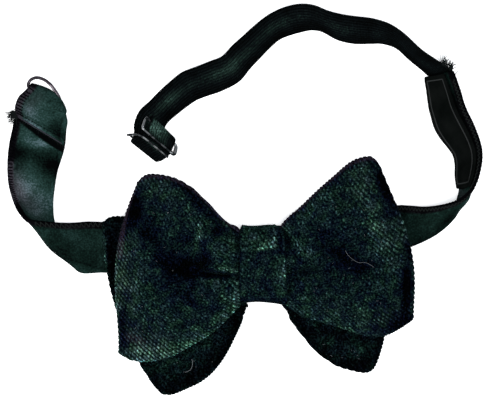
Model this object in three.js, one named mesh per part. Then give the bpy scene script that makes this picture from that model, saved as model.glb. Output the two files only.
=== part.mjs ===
// Pre-tied bow tie of velvet on a satin neck band, lying flat with its front up.
// All sizes are in millimetres. X runs to the wearer's left along the bow, Y towards the
// back of the neck loop and Z up from the table. The origin is the middle of the underside.
import * as THREE from 'three';

// Driving sizes
const velvetThickness = 2.6;
const satinThickness = 1.1;
const elasticThickness = 1.0;
const labelThickness = 0.8;
const seatGap = 0.3;
const labelGap = 0.55;
const wireRadius = 0.55;
const hookWireRadius = 0.6;
const knot = { halfLength: 8.8, halfWidth: 14.6, middleY: 0.2, height: 15.9, wall: 2.0, skew: 0.9 };
const waist = { backLift: 6.75, frontLift: 10.5, pleat: 1.2, pleatPitch: 13, valleyY: -2.7 };

// One wing is a row of sections from the knot outward. low and high are the two ends of a
// section, bow is how far its middle bulges outward, and the three lifts are heights of the
// low end, the middle and the high end of the cloth's mid surface.
const frontLeft = [
  { lowX: -5.5, lowY: -10.2, highX: -5.5, highY: 10.4, bow: 0, lowZ: -1.5, midZ: 0, highZ: 0 },
  { lowX: -9.3, lowY: -10.7, highX: -9.3, highY: 10.8, bow: 0, lowZ: -1.5, midZ: 0.1, highZ: -0.2 },
  { lowX: -10.5, lowY: -14.4, highX: -10.6, highY: 13.2, bow: 0, lowZ: -1.7, midZ: 0.8, highZ: 0 },
  { lowX: -12.5, lowY: -18.6, highX: -14.5, highY: 17.2, bow: 0.34, lowZ: -2.0, midZ: 2.2, highZ: 0.2 },
  { lowX: -19, lowY: -25, highX: -21.4, highY: 24.6, bow: 1.03, lowZ: -3.2, midZ: 2.8, highZ: -0.6 },
  { lowX: -26.8, lowY: -29.9, highX: -27, highY: 29.8, bow: 1.89, lowZ: -4.0, midZ: 2.4, highZ: -1.4 },
  { lowX: -35, lowY: -34.4, highX: -33, highY: 33.3, bow: 2.74, lowZ: -4.5, midZ: 1.2, highZ: -2.2 },
  { lowX: -43, lowY: -36.4, highX: -39.5, highY: 34.9, bow: 3.6, lowZ: -4.7, midZ: -0.6, highZ: -2.8 },
  { lowX: -50.3, lowY: -36, highX: -44.5, highY: 34.8, bow: 4.29, lowZ: -4.8, midZ: -2.6, highZ: -3.3 },
  { lowX: -55.2, lowY: -33.2, highX: -47.8, highY: 32, bow: 4.8, lowZ: -4.9, midZ: -4.0, highZ: -3.7 },
];
const frontRight = [
  { lowX: 5.5, lowY: -10.2, highX: 5.5, highY: 10.4, bow: 0, lowZ: -1.5, midZ: 0, highZ: 0 },
  { lowX: 9.9, lowY: -10.7, highX: 8.6, highY: 10.8, bow: 0, lowZ: -1.5, midZ: 0.1, highZ: -0.2 },
  { lowX: 11.0, lowY: -14.4, highX: 9.6, highY: 14.2, bow: 0, lowZ: -1.7, midZ: 0.8, highZ: 0 },
  { lowX: 14.2, lowY: -18.4, highX: 14.5, highY: 22.4, bow: 0.29, lowZ: -1.6, midZ: 2.0, highZ: 0.2 },
  { lowX: 21.5, lowY: -21, highX: 20.8, highY: 28.7, bow: 0.96, lowZ: -2.8, midZ: 2.8, highZ: -0.2 },
  { lowX: 30, lowY: -23.5, highX: 27.4, highY: 34.5, bow: 1.92, lowZ: -3.4, midZ: 3.0, highZ: -0.6 },
  { lowX: 38, lowY: -26.1, highX: 33.4, highY: 39.6, bow: 2.88, lowZ: -3.7, midZ: 2.6, highZ: -1.0 },
  { lowX: 46, lowY: -26.7, highX: 38.5, highY: 41.6, bow: 3.65, lowZ: -3.8, midZ: 1.4, highZ: -1.4 },
  { lowX: 52.6, lowY: -23.8, highX: 42.0, highY: 41.4, bow: 4.42, lowZ: -3.8, midZ: -0.6, highZ: -1.9 },
  { lowX: 57.8, lowY: -20.2, highX: 44.5, highY: 38, bow: 4.8, lowZ: -3.8, midZ: -2.6, highZ: -2.4 },
];
const backLeft = [
  { lowX: -5.5, lowY: -9.8, highX: -5.5, highY: 9.8, bow: 0, lowZ: -1.3, midZ: 0, highZ: 0 },
  { lowX: -9.2, lowY: -10.3, highX: -9.4, highY: 10.2, bow: 0, lowZ: -1.4, midZ: -0.2, highZ: -0.3 },
  { lowX: -10.4, lowY: -14.8, highX: -11, highY: 11.0, bow: 0, lowZ: -1.7, midZ: -0.6, highZ: -0.7 },
  { lowX: -8.5, lowY: -20.5, highX: -15, highY: 11.8, bow: 0, lowZ: -2.2, midZ: -1.2, highZ: -1.6 },
  { lowX: -11.7, lowY: -29.6, highX: -25, highY: 13.2, bow: 1.2, lowZ: -3.6, midZ: -1.6, highZ: -2.4 },
  { lowX: -16.4, lowY: -37.7, highX: -36, highY: 15.5, bow: 2.6, lowZ: -4.3, midZ: -2.2, highZ: -2.8 },
  { lowX: -22.5, lowY: -43.9, highX: -46, highY: 17.8, bow: 4.0, lowZ: -4.8, midZ: -2.8, highZ: -3.0 },
  { lowX: -30.2, lowY: -47.8, highX: -53.7, highY: 18.9, bow: 5.2, lowZ: -4.9, midZ: -3.2, highZ: -3.1 },
  { lowX: -35.2, lowY: -49.6, highX: -58.5, highY: 18.6, bow: 6.0, lowZ: -5.0, midZ: -3.4, highZ: -3.2 },
  { lowX: -38.6, lowY: -49.3, highX: -61.4, highY: 16.6, bow: 6.4, lowZ: -5.0, midZ: -3.5, highZ: -3.3 },
];
const backRight = [
  { lowX: 5.5, lowY: -9.8, highX: 5.5, highY: 9.8, bow: 0, lowZ: -1.3, midZ: 0, highZ: 0 },
  { lowX: 10.2, lowY: -10.3, highX: 9.2, highY: 10.2, bow: 0, lowZ: -1.4, midZ: -0.2, highZ: -0.3 },
  { lowX: 11.3, lowY: -14.9, highX: 11, highY: 11.0, bow: 0, lowZ: -1.7, midZ: -0.6, highZ: -0.7 },
  { lowX: 11.5, lowY: -20.5, highX: 14, highY: 11.6, bow: 0, lowZ: -2.2, midZ: -1.2, highZ: -1.4 },
  { lowX: 15.6, lowY: -27.2, highX: 20, highY: 12.4, bow: 0.83, lowZ: -3.6, midZ: -1.6, highZ: -1.6 },
  { lowX: 21.5, lowY: -33.6, highX: 27, highY: 13.4, bow: 1.83, lowZ: -4.4, midZ: -1.9, highZ: -1.8 },
  { lowX: 28, lowY: -38.2, highX: 33, highY: 14.4, bow: 2.83, lowZ: -4.8, midZ: -2.2, highZ: -1.9 },
  { lowX: 34.5, lowY: -40.3, highX: 38, highY: 15.0, bow: 3.67, lowZ: -4.9, midZ: -2.4, highZ: -2.0 },
  { lowX: 39.6, lowY: -41.1, highX: 42, highY: 15.0, bow: 4.17, lowZ: -5.0, midZ: -2.5, highZ: -2.0 },
  { lowX: 42.4, lowY: -39.8, highX: 45, highY: 13.4, bow: 4.5, lowZ: -5.0, midZ: -2.5, highZ: -2.0 },
];

// Where along the outer edge of each wing its bulge lies: equal powers put it in the middle.
const rims = {
  frontLeft: { low: 1.7, high: 1.25 },
  frontRight: { low: 1.4, high: 1.6 },
  backLeft: { low: 0.8, high: 1.0 },
  backRight: { low: 0.8, high: 1.0 },
};

// Folds and dents pressed into the front wings: place, half length, half width, turn from X
// in degrees and rise, which is below zero for a dent.
const frontFolds = [
  { x: -15, y: -3.0, along: 8, across: 2.8, turn: 3, rise: -3.2 },
  { x: -30, y: 5.0, along: 10, across: 6.0, turn: 62, rise: -4.4 },
  { x: -26, y: -1.5, along: 6, across: 4.0, turn: 15, rise: -1.6 },
  { x: -16, y: 9.5, along: 6, across: 5.0, turn: 40, rise: 2.0 },
  { x: -20, y: -12, along: 9, across: 5.0, turn: 32, rise: 1.0 },
  { x: 16, y: -2.0, along: 9, across: 2.8, turn: 9, rise: -3.2 },
  { x: 34, y: 2.5, along: 11, across: 7.0, turn: 15, rise: -2.6 },
  { x: 18, y: 8, along: 8, across: 4.0, turn: 38, rise: 1.2 },
  { x: 20, y: -11, along: 9, across: 4.5, turn: -20, rise: 1.0 },
];
const backFolds = [
  { x: -15, y: -20, along: 12, across: 3.5, turn: 62, rise: 1.2 },
  { x: 19, y: -20, along: 11, across: 3.5, turn: -52, rise: 1.2 },
];

// The neck band, laid out as straight lines across it. a is its stitched edge, b its folded
// edge and camber the bulge between them.
const foldBack = [
  { ax: -94.2, ay: 57.1, az: 2.9, bx: -76.4, by: 46.1, bz: 2.9, camber: 0 },
  { ax: -95.1, ay: 60.7, az: 2.5, bx: -75.5, by: 51.1, bz: 2.5, camber: 0 },
  { ax: -93.7, ay: 64.8, az: 2.6, bx: -74.8, by: 55.0, bz: 2.6, camber: 0 },
  { ax: -90.8, ay: 67.5, az: 3.5, bx: -77.1, by: 56.9, bz: 3.5, camber: 0 },
];

const leftRun = [
  { ax: -91.0, ay: 67.3, az: 0.6, bx: -77.4, by: 56.8, bz: 0.6, camber: 0 },
  { ax: -94.1, ay: 63.5, az: 0.6, bx: -75.5, by: 54.3, bz: 0.6, camber: 0 },
  { ax: -95.3, ay: 58.5, az: 0.6, bx: -75.5, by: 50.8, bz: 0.6, camber: 0 },
  { ax: -96.2, ay: 53.1, az: 0.6, bx: -75.8, by: 47.1, bz: 0.6, camber: 0 },
  { ax: -97.2, ay: 48.5, az: 0.8, bx: -76.4, by: 43.9, bz: 0.8, camber: 0 },
  { ax: -97.8, ay: 43.9, az: 1.6, bx: -77.4, by: 40.4, bz: 1.9, camber: 0 },
  { ax: -98.0, ay: 38.1, az: 2.8, bx: -78.6, by: 36.1, bz: 3.4, camber: 0 },
  { ax: -97.8, ay: 32.7, az: 2.2, bx: -79.7, by: 30.0, bz: 2.4, camber: 0 },
];

const leftRoll = [
  { ax: -97.1, ay: 28.9, az: 2.2, bx: -80.4, by: 23.9, bz: 0.8, camber: 0 },
  { ax: -95.3, ay: 24.3, az: 4.8, bx: -79.8, by: 16.9, bz: 0.6, camber: 0 },
  { ax: -93.3, ay: 21.2, az: 8.2, bx: -76.8, by: 9.3, bz: 0.6, camber: 0 },
  { ax: -91.1, ay: 18.6, az: 10.9, bx: -73.7, by: 2.3, bz: 0.7, camber: 0 },
  { ax: -88.4, ay: 16.5, az: 12.2, bx: -70.9, by: -1.7, bz: 1.4, camber: 0 },
  { ax: -84.3, ay: 16.1, az: 11.2, bx: -68.7, by: -2.8, bz: 2.7, camber: 0 },
  { ax: -78.8, ay: 16.4, az: 8.2, bx: -66.4, by: -3.0, bz: 2.9, camber: 0 },
  { ax: -72.6, ay: 16.6, az: 4.6, bx: -63.6, by: -2.8, bz: 1.6, camber: 0 },
  { ax: -65.9, ay: 16.6, az: 1.8, bx: -60.2, by: -2.8, bz: 0.8, camber: 0 },
];

const rightTwist = [
  { ax: 51.3, ay: 23.1, az: 1.6, bx: 50.6, by: 4.8, bz: 0.6, camber: 0 },
  { ax: 56.5, ay: 23.1, az: 4.4, bx: 56.0, by: 6.7, bz: 0.6, camber: 0 },
  { ax: 61.6, ay: 22.7, az: 8, bx: 61.7, by: 9.1, bz: 0.6, camber: 0 },
  { ax: 66.3, ay: 23.1, az: 11.5, bx: 66.7, by: 11.9, bz: 0.6, camber: 0 },
  { ax: 70.2, ay: 23.9, az: 14.5, bx: 71.4, by: 15.8, bz: 0.6, camber: 0 },
  { ax: 73.8, ay: 25.4, az: 17, bx: 74.8, by: 20.2, bz: 0.6, camber: 0 },
  { ax: 76.7, ay: 27.3, az: 18, bx: 76.6, by: 25.0, bz: 0.6, camber: 0 },
  { ax: 79.4, ay: 29.9, az: 17.6, bx: 76.0, by: 29.6, bz: 0.6, camber: 0 },
  { ax: 81.5, ay: 34.1, az: 16.5, bx: 75.2, by: 34.3, bz: 0.6, camber: 0 },
  { ax: 82.8, ay: 39.4, az: 15.5, bx: 75.0, by: 39.3, bz: 0.6, camber: 0 },
  { ax: 83.0, ay: 43.6, az: 15, bx: 73.9, by: 43.3, bz: 0.6, camber: 0 },
  { ax: 82.4, ay: 47.4, az: 14, bx: 71.4, by: 46.6, bz: 0.6, camber: 0 },
  { ax: 81.1, ay: 51.6, az: 12.8, bx: 68.7, by: 49.6, bz: 0.6, camber: 0 },
  { ax: 79.5, ay: 55.4, az: 12.5, bx: 66.6, by: 52.9, bz: 0.6, camber: 0 },
  { ax: 77.6, ay: 59.2, az: 12.5, bx: 65.4, by: 57.0, bz: 0.6, camber: 0 },
  { ax: 76.2, ay: 62.6, az: 13.3, bx: 64.6, by: 60.4, bz: 0.6, camber: 0 },
  { ax: 75.2, ay: 66.0, az: 13.8, bx: 64.1, by: 64.3, bz: 0.6, camber: 0 },
  { ax: 74.0, ay: 69.4, az: 14, bx: 63.7, by: 68.1, bz: 0.6, camber: 0 },
  { ax: 73.1, ay: 72.0, az: 14, bx: 63.3, by: 70.6, bz: 0.6, camber: 0 },
  { ax: 72.1, ay: 74.3, az: 14, bx: 63.3, by: 72.5, bz: 0.6, camber: 0 },
];

const elasticRun = [
  { ax: 74.7, ay: 65.7, az: 11.0, bx: 67.3, by: 64.6, bz: 1.2, camber: 0 },
  { ax: 73.9, ay: 68.7, az: 11.1, bx: 66.7, by: 67.3, bz: 1.2, camber: 0 },
  { ax: 73.3, ay: 71.8, az: 11.5, bx: 66.3, by: 70.2, bz: 1.0, camber: 0 },
  { ax: 72.9, ay: 74.6, az: 11.8, bx: 66.3, by: 72.7, bz: 0.9, camber: 0 },
  { ax: 70.9, ay: 77.2, az: 12.5, bx: 65.6, by: 74.8, bz: 0.8, camber: 0 },
  { ax: 66.9, ay: 79.1, az: 13.0, bx: 63.7, by: 76.0, bz: 0.7, camber: 0 },
  { ax: 59.7, ay: 82.7, az: 13.0, bx: 56.7, by: 79.9, bz: 0.6, camber: 0.3 },
  { ax: 53.6, ay: 88.4, az: 12.6, bx: 51.4, by: 83.7, bz: 0.6, camber: 0.6 },
  { ax: 48.1, ay: 92.4, az: 10.5, bx: 46.0, by: 85.4, bz: 0.6, camber: 1 },
  { ax: 41.7, ay: 94.6, az: 8.6, bx: 41.4, by: 85.4, bz: 0.6, camber: 1.3 },
  { ax: 35.6, ay: 95.4, az: 8, bx: 35.2, by: 85.4, bz: 0.6, camber: 1.5 },
  { ax: 30.3, ay: 96.2, az: 8, bx: 29.0, by: 86.8, bz: 0.6, camber: 1.5 },
  { ax: 24.9, ay: 97.5, az: 8.8, bx: 22.9, by: 90.0, bz: 0.6, camber: 1.3 },
  { ax: 19.6, ay: 99.7, az: 7.6, bx: 18.7, by: 90.6, bz: 0.6, camber: 1.5 },
  { ax: 14.3, ay: 100.3, az: 6.2, bx: 14.4, by: 89.7, bz: 0.6, camber: 1.6 },
  { ax: 8.2, ay: 99.0, az: 6.2, bx: 10.2, by: 88.5, bz: 0.6, camber: 1.6 },
  { ax: 2.1, ay: 96.1, az: 6.2, bx: 6.3, by: 86.8, bz: 0.6, camber: 1.6 },
  { ax: -3.3, ay: 91.9, az: 6.2, bx: 2.5, by: 83.5, bz: 0.6, camber: 1.6 },
  { ax: -7.5, ay: 88.1, az: 5.8, bx: -1.3, by: 79.5, bz: 0.6, camber: 1.6 },
  { ax: -11.7, ay: 84.4, az: 5.2, bx: -4.8, by: 75.8, bz: 0.6, camber: 1.6 },
  { ax: -15.5, ay: 80.4, az: 4.4, bx: -9.0, by: 70.8, bz: 0.6, camber: 1.6 },
  { ax: -20.2, ay: 78.5, az: 3.4, bx: -15.6, by: 67.2, bz: 0.6, camber: 1.6 },
  { ax: -25.5, ay: 76.4, az: 3.4, bx: -21.4, by: 65.2, bz: 0.6, camber: 1.6 },
  { ax: -30.9, ay: 74.3, az: 3.4, bx: -25.6, by: 63.5, bz: 0.6, camber: 1.6 },
  { ax: -35.3, ay: 70.9, az: 3.2, bx: -29.8, by: 60.6, bz: 0.6, camber: 1.5 },
  { ax: -40.0, ay: 66.7, az: 2.2, bx: -33.7, by: 57.5, bz: 0.6, camber: 1.2 },
  { ax: -43.6, ay: 63.1, az: 1.4, bx: -36.0, by: 55.4, bz: 0.6, camber: 0.6 },
  { ax: -46.9, ay: 60.2, az: 0.8, bx: -37.5, by: 53.1, bz: 0.6, camber: 0.1 },
  { ax: -48.8, ay: 56.8, az: 0.6, bx: -37.3, by: 50.8, bz: 0.6, camber: 0 },
  { ax: -49.6, ay: 53.3, az: 0.6, bx: -36.7, by: 47.1, bz: 0.6, camber: 0 },
];

const underBow = [
  { ax: -51, ay: 16.0, az: 0.6, bx: -51, by: -3.2, bz: 0.6, camber: 0 },
  { ax: -35, ay: 13.2, az: 0.6, bx: -35, by: -5.6, bz: 0.6, camber: 0 },
  { ax: -22, ay: 11.2, az: 0.8, bx: -22, by: -7.4, bz: 0.8, camber: 0 },
  { ax: -14, ay: 10.0, az: 2.0, bx: -14, by: -7.9, bz: 2.0, camber: 0 },
  { ax: -8.5, ay: 8.9, az: 3.0, bx: -8.5, by: -8.3, bz: 3.0, camber: 0 },
  { ax: 0, ay: 8.9, az: 3.0, bx: 0, by: -8.3, bz: 3.0, camber: 0 },
  { ax: 8.5, ay: 9.2, az: 3.0, bx: 8.5, by: -8.0, bz: 3.0, camber: 0 },
  { ax: 14, ay: 11.6, az: 2.0, bx: 14, by: -7.0, bz: 2.0, camber: 0 },
  { ax: 22, ay: 14.2, az: 0.8, bx: 22, by: -5.2, bz: 0.8, camber: 0 },
  { ax: 35, ay: 18.2, az: 0.6, bx: 35, by: -1.0, bz: 0.6, camber: 0 },
];

// The eye is a flat wire D. Its straight bar lies in the fold of the band.
const eye = { x: -83.5, y: 63.5, turn: -38.4, lift: 2.0, foldHalfWidth: 7.5, foldBulge: 1.0 };
const eyeOutline = [
  { along: -7.8, out: 0 },
  { along: 8.0, out: 0 },
  { along: 9.6, out: 0.6 },
  { along: 9.5, out: 2.0 },
  { along: 6.3, out: 3.6 },
  { along: 3.1, out: 4.4 },
  { along: 0.6, out: 5.4 },
  { along: -2.0, out: 5.9 },
  { along: -5.2, out: 5.7 },
  { along: -7.7, out: 4.6 },
  { along: -8.9, out: 2.9 },
  { along: -8.8, out: 0.9 },
];

// The elastic's end, seen along the bars of the slide. out runs away from the hook, up is the
// height and shift slides the strap along the bars. The clasp lies askew: its left ends tip up,
// its top leans to the right, and its far side fans out to the left.
const clasp = { x: -42.5, y: 48.5, turn: -38.5, tip: 0.25, tipFrom: 9, lean: 0.4, slant: 0.32, fan: 0.1 };
const elasticEnd = [
  { out: -1.8, up: 0.55, shift: 0.0, width: 14.8 },
  { out: -4.0, up: 0.6, shift: 0.7, width: 14.2 },
  { out: -4.99, up: 1.01, shift: 0.8, width: 14 },
  { out: -5.4, up: 2.0, shift: 0.8, width: 14 },
  { out: -4.99, up: 2.99, shift: 0.8, width: 14 },
  { out: -4.0, up: 3.4, shift: 0.9, width: 13.8 },
  { out: -1.5, up: 3.4, shift: 1.3, width: 13 },
  { out: 0.9, up: 3.4, shift: 1.9, width: 12 },
  { out: 1.95, up: 3.87, shift: 1.7, width: 12.1 },
  { out: 2.8, up: 4.5, shift: 1.4, width: 12.3 },
  { out: 3.65, up: 5.15, shift: 1.1, width: 12.5 },
  { out: 4.7, up: 5.65, shift: 1.0, width: 12.6 },
  { out: 5.7, up: 5.2, shift: 1.0, width: 12.6 },
  { out: 6.1, up: 4.2, shift: 1.0, width: 12.6 },
  { out: 5.7, up: 3.2, shift: 1.0, width: 12.6 },
  { out: 4.7, up: 2.8, shift: 1.0, width: 12.6 },
];
const hookBends = [
  { along: 8.6, out: -4.0, up: 2.0 },
  { along: 1.0, out: -4.0, up: 2.0 },
  { along: -7.5, out: -4.0, up: 2.0 },
  { along: -8.4, out: -4.2, up: 2.5 },
  { along: -9.1, out: -4.4, up: 3.3 },
  { along: -8.3, out: -3.3, up: 4.1 },
  { along: -6.2, out: -1.8, up: 4.7 },
  { along: -3.4, out: -1.3, up: 4.8 },
  { along: 7.6, out: -1.5, up: 4.8 },
];
const slide = { left: -6.9, right: 8.9, nearOut: 0.9, nearUp: 4.8, farOut: 4.7, farUp: 4.2, corner: 0.9 };

// Smooth value of every column of a table at place s, counted along the table in millimetres.
function alongTable(table, places, s) {
  let k = 0;
  while (k < table.length - 2 && s > places[k + 1]) {
    k += 1;
  }
  const span = places[k + 1] - places[k];
  const t = (s - places[k]) / span;
  const row = {};
  for (const name of Object.keys(table[0])) {
    const slope = (i) => {
      const from = Math.max(i - 1, 0);
      const to = Math.min(i + 1, table.length - 1);
      return (table[to][name] - table[from][name]) / (places[to] - places[from]);
    };
    const t2 = t * t;
    const t3 = t2 * t;
    row[name] = table[k][name] * (2 * t3 - 3 * t2 + 1)
      + slope(k) * span * (t3 - 2 * t2 + t)
      + table[k + 1][name] * (3 * t2 - 2 * t3)
      + slope(k + 1) * span * (t3 - t2);
  }
  return row;
}

// A closed body from rings of points. Neighbouring rings are joined by quads. The ends are
// closed by strips across the first and last ring, unless the rings meet round a loop.
function loft(rings, looped) {
  const count = rings[0].length;
  const positions = [];
  for (const ring of rings) {
    for (const p of ring) {
      positions.push(p.x, p.y, p.z);
    }
  }
  const index = [];
  const at = (i, j) => (i % rings.length) * count + (j % count);
  const last = looped ? rings.length : rings.length - 1;
  for (let i = 0; i < last; i += 1) {
    for (let j = 0; j < count; j += 1) {
      index.push(at(i, j), at(i + 1, j), at(i + 1, j + 1));
      index.push(at(i, j), at(i + 1, j + 1), at(i, j + 1));
    }
  }
  if (!looped) {
    for (let k = 0; k < count / 2 - 1; k += 1) {
      const far = count - 1 - k;
      const end = rings.length - 1;
      index.push(at(0, k), at(0, k + 1), at(0, far - 1));
      index.push(at(0, k), at(0, far - 1), at(0, far));
      index.push(at(end, k), at(end, far - 1), at(end, k + 1));
      index.push(at(end, k), at(end, far), at(end, far - 1));
    }
  }
  let volume = 0;
  const point = (n) => new THREE.Vector3().fromArray(positions, n * 3);
  for (let i = 0; i < index.length; i += 3) {
    volume += point(index[i]).dot(point(index[i + 1]).cross(point(index[i + 2])));
  }
  if (volume < 0) {
    index.reverse();
  }
  const geometry = new THREE.BufferGeometry();
  geometry.setAttribute('position', new THREE.Float32BufferAttribute(positions, 3));
  geometry.setIndex(index);
  geometry.computeVertexNormals();
  return geometry;
}

// Unit normals of a grid of points.
function gridNormals(grid) {
  return grid.map((line, i) => line.map((p, j) => {
    const before = grid[Math.max(i - 1, 0)][j];
    const after = grid[Math.min(i + 1, grid.length - 1)][j];
    const left = line[Math.max(j - 1, 0)];
    const right = line[Math.min(j + 1, line.length - 1)];
    const along = new THREE.Vector3().subVectors(after, before);
    const across = new THREE.Vector3().subVectors(right, left);
    return along.cross(across).normalize();
  }));
}

// Cloth of a given thickness laid on both sides of a grid, thinner by rim at its edges.
function clothOnGrid(grid, thickness, rim) {
  const normals = gridNormals(grid);
  const rings = grid.map((line, i) => {
    const half = line.map((p, j) => {
      const border = i === 0 || j === 0 || i === grid.length - 1 || j === line.length - 1;
      return thickness * (border ? rim : 1) / 2;
    });
    const upper = line.map((p, j) => p.clone().addScaledVector(normals[i][j], half[j]));
    const lower = line.map((p, j) => p.clone().addScaledVector(normals[i][j], -half[j]));
    return [...upper, ...lower.reverse()];
  });
  return loft(rings, false);
}

// Height added by folds at a place of the bow, fading out inside the knot.
function foldHeight(folds, x, y) {
  const clear = THREE.MathUtils.smoothstep(Math.abs(x), knot.halfLength + 0.6, knot.halfLength + 5.5);
  let height = 0;
  for (const fold of folds) {
    const turn = THREE.MathUtils.degToRad(fold.turn);
    const dx = x - fold.x;
    const dy = y - fold.y;
    const along = (dx * Math.cos(turn) + dy * Math.sin(turn)) / fold.along;
    const across = (dy * Math.cos(turn) - dx * Math.sin(turn)) / fold.across;
    height += fold.rise * Math.exp(-along * along - across * across);
  }
  return height * clear;
}

// Height of the pleats that the knot squeezes into the bow. They open out along the wing.
function pleatHeight(x, y) {
  const phase = (2 * Math.PI * (y - waist.valleyY)) / waist.pleatPitch;
  const fade = 1 - THREE.MathUtils.smoothstep(Math.abs(x), knot.halfLength, knot.halfLength + 7);
  return -waist.pleat * Math.cos(phase) * fade;
}

// Distances from the knot to each section of a wing.
function wingPlaces(table) {
  const places = [0];
  for (let k = 1; k < table.length; k += 1) {
    const low = Math.hypot(table[k].lowX - table[k - 1].lowX, table[k].lowY - table[k - 1].lowY);
    const high = Math.hypot(table[k].highX - table[k - 1].highX, table[k].highY - table[k - 1].highY);
    places.push(places[k - 1] + (low + high) / 2);
  }
  return places;
}

// Share of the bulge at v, which is 1 at its highest place.
function rimShare(rim, v) {
  const peak = rim.low / (rim.low + rim.high);
  const shape = (t) => Math.pow(t, rim.low) * Math.pow(1 - t, rim.high);
  return shape(v) / shape(peak);
}

// One point of a wing. u runs out from the knot and v from the lower edge to the upper one.
function wingPoint(table, rim, places, lift, folds, u, v) {
  const row = alongTable(table, places, u * places[places.length - 1]);
  const side = Math.sign(table[0].lowX);
  const bulge = row.bow * rimShare(rim, v);
  const x = THREE.MathUtils.lerp(row.lowX, row.highX, v) + side * bulge;
  const y = THREE.MathUtils.lerp(row.lowY, row.highY, v);
  const edge = THREE.MathUtils.lerp(row.lowZ, row.highZ, v);
  const middle = row.midZ - (row.lowZ + row.highZ) / 2;
  const arch = 1 - Math.pow(Math.abs(2 * v - 1), 2.6);
  const rimFade = Math.min(1, 5 * v, 5 * (1 - v), 6 * (1 - u));
  const z = lift + edge + middle * arch + pleatHeight(x, y) + foldHeight(folds, x, y) * rimFade;
  return new THREE.Vector3(x, y, z);
}

// Both wings in one length of cloth, from the outer edge of one to that of the other.
function bowGrid(leftTable, leftRim, rightTable, rightRim, lift, folds, steps, strips) {
  const across = [0, 0.022];
  for (let j = 1; j < strips; j += 1) {
    across.push(j / strips);
  }
  across.push(0.978, 1);
  const out = [1, 0.977];
  for (let i = steps - 1; i >= 0; i -= 1) {
    out.push(i / steps);
  }
  const leftPlaces = wingPlaces(leftTable);
  const rightPlaces = wingPlaces(rightTable);
  const grid = out.map((u) => across.map((v) => (
    wingPoint(leftTable, leftRim, leftPlaces, lift, folds, u, v)
  )));
  for (const u of out.slice().reverse()) {
    grid.push(across.map((v) => wingPoint(rightTable, rightRim, rightPlaces, lift, folds, u, v)));
  }
  return grid;
}

// The knot is a sleeve round the X axis. Its underside is flat where it lies on the table.
function knotGeometry() {
  const around = 36;
  const along = [-1, -0.8, -0.35, 0.1, 0.5, 0.82, 1];
  const middle = knot.height / 2;
  const sleevePoint = (share, angle, inset) => {
    const low = Math.sin(angle) < 0;
    const power = low ? 6 : 3.4;
    const halfWidth = knot.halfWidth - inset - 0.5 * (1 - share * share);
    const halfHeight = middle - inset;
    const c = Math.cos(angle);
    const s = Math.sin(angle);
    const y = knot.middleY + Math.sign(c) * halfWidth * Math.pow(Math.abs(c), 2 / power);
    const z = Math.sign(s) * halfHeight * Math.pow(Math.abs(s), 2 / power);
    const endX = share < 0 ? knot.halfLength : knot.halfLength + 0.1 - knot.skew * c;
    const x = share * (endX - 0.5 * Math.pow(Math.abs(c), 8));
    const sag = low ? 0 : -0.35 * (1 - share * share);
    return new THREE.Vector3(x, y, Math.max(middle + z + sag, inset));
  };
  const rings = [];
  for (let k = 0; k < around; k += 1) {
    const angle = (2 * Math.PI * (k + 0.5)) / around;
    const outer = along.map((share) => sleevePoint(share, angle, 0));
    const inner = along.map((share) => sleevePoint(share * 0.985, angle, knot.wall));
    rings.push([...outer, ...inner.reverse()]);
  }
  return loft(rings, true);
}

// Distances along a table of lines across a strap.
function strapPlaces(table) {
  const places = [0];
  for (let k = 1; k < table.length; k += 1) {
    const p = table[k];
    const q = table[k - 1];
    const a = Math.hypot(p.ax - q.ax, p.ay - q.ay, p.az - q.az);
    const b = Math.hypot(p.bx - q.bx, p.by - q.by, p.bz - q.bz);
    places.push(places[k - 1] + (a + b) / 2);
  }
  return places;
}

// Grid of points on a strap. Each table row gives a straight line across it. The grid runs
// from one row to another, with the given steps to a row, between two shares of the width.
function strapGrid(table, steps, strips, rows = null, edges = null) {
  const places = strapPlaces(table);
  const first = rows ? rows.first : 0;
  const last = rows ? rows.last : table.length - 1;
  const stations = [];
  for (let k = first; k < last; k += 1) {
    for (let n = 0; n < steps; n += 1) {
      stations.push(places[k] + ((places[k + 1] - places[k]) * n) / steps);
    }
  }
  stations.push(places[last]);
  return stations.map((s, i) => {
    const row = alongTable(table, places, s);
    const a = new THREE.Vector3(row.ax, row.ay, row.az);
    const b = new THREE.Vector3(row.bx, row.by, row.bz);
    const [left, right] = edges ? edges(i / (stations.length - 1)) : [0, 1];
    const line = [];
    for (let j = 0; j <= strips; j += 1) {
      const w = left + ((right - left) * j) / strips;
      const p = new THREE.Vector3().lerpVectors(a, b, w);
      p.z += row.camber * 4 * w * (1 - w);
      p.add(eyeOutward(row.push * 4 * w * (1 - w)));
      line.push(p);
    }
    return line;
  });
}

// Round wire along points, closed into a loop or with flat ends.
function wire(points, radius, sides, looped) {
  const count = points.length;
  let up = new THREE.Vector3(0, 0, 1);
  const rings = points.map((p, i) => {
    const before = looped ? points[(i + count - 1) % count] : points[Math.max(i - 1, 0)];
    const after = looped ? points[(i + 1) % count] : points[Math.min(i + 1, count - 1)];
    const along = new THREE.Vector3().subVectors(after, before).normalize();
    const side = new THREE.Vector3().crossVectors(along, up).normalize();
    up = new THREE.Vector3().crossVectors(side, along).normalize();
    const ring = [];
    for (let k = 0; k < sides; k += 1) {
      const angle = (2 * Math.PI * k) / sides;
      ring.push(p.clone()
        .addScaledVector(side, radius * Math.cos(angle))
        .addScaledVector(up, radius * Math.sin(angle)));
    }
    return ring;
  });
  return loft(rings, looped);
}

// Place on the eye: along its bar, outward from the bar and up.
function eyePoint(along, out, up) {
  const turn = THREE.MathUtils.degToRad(eye.turn);
  const x = eye.x + along * Math.cos(turn) - out * Math.sin(turn);
  const y = eye.y + along * Math.sin(turn) + out * Math.cos(turn);
  return new THREE.Vector3(x, y, up);
}

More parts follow.
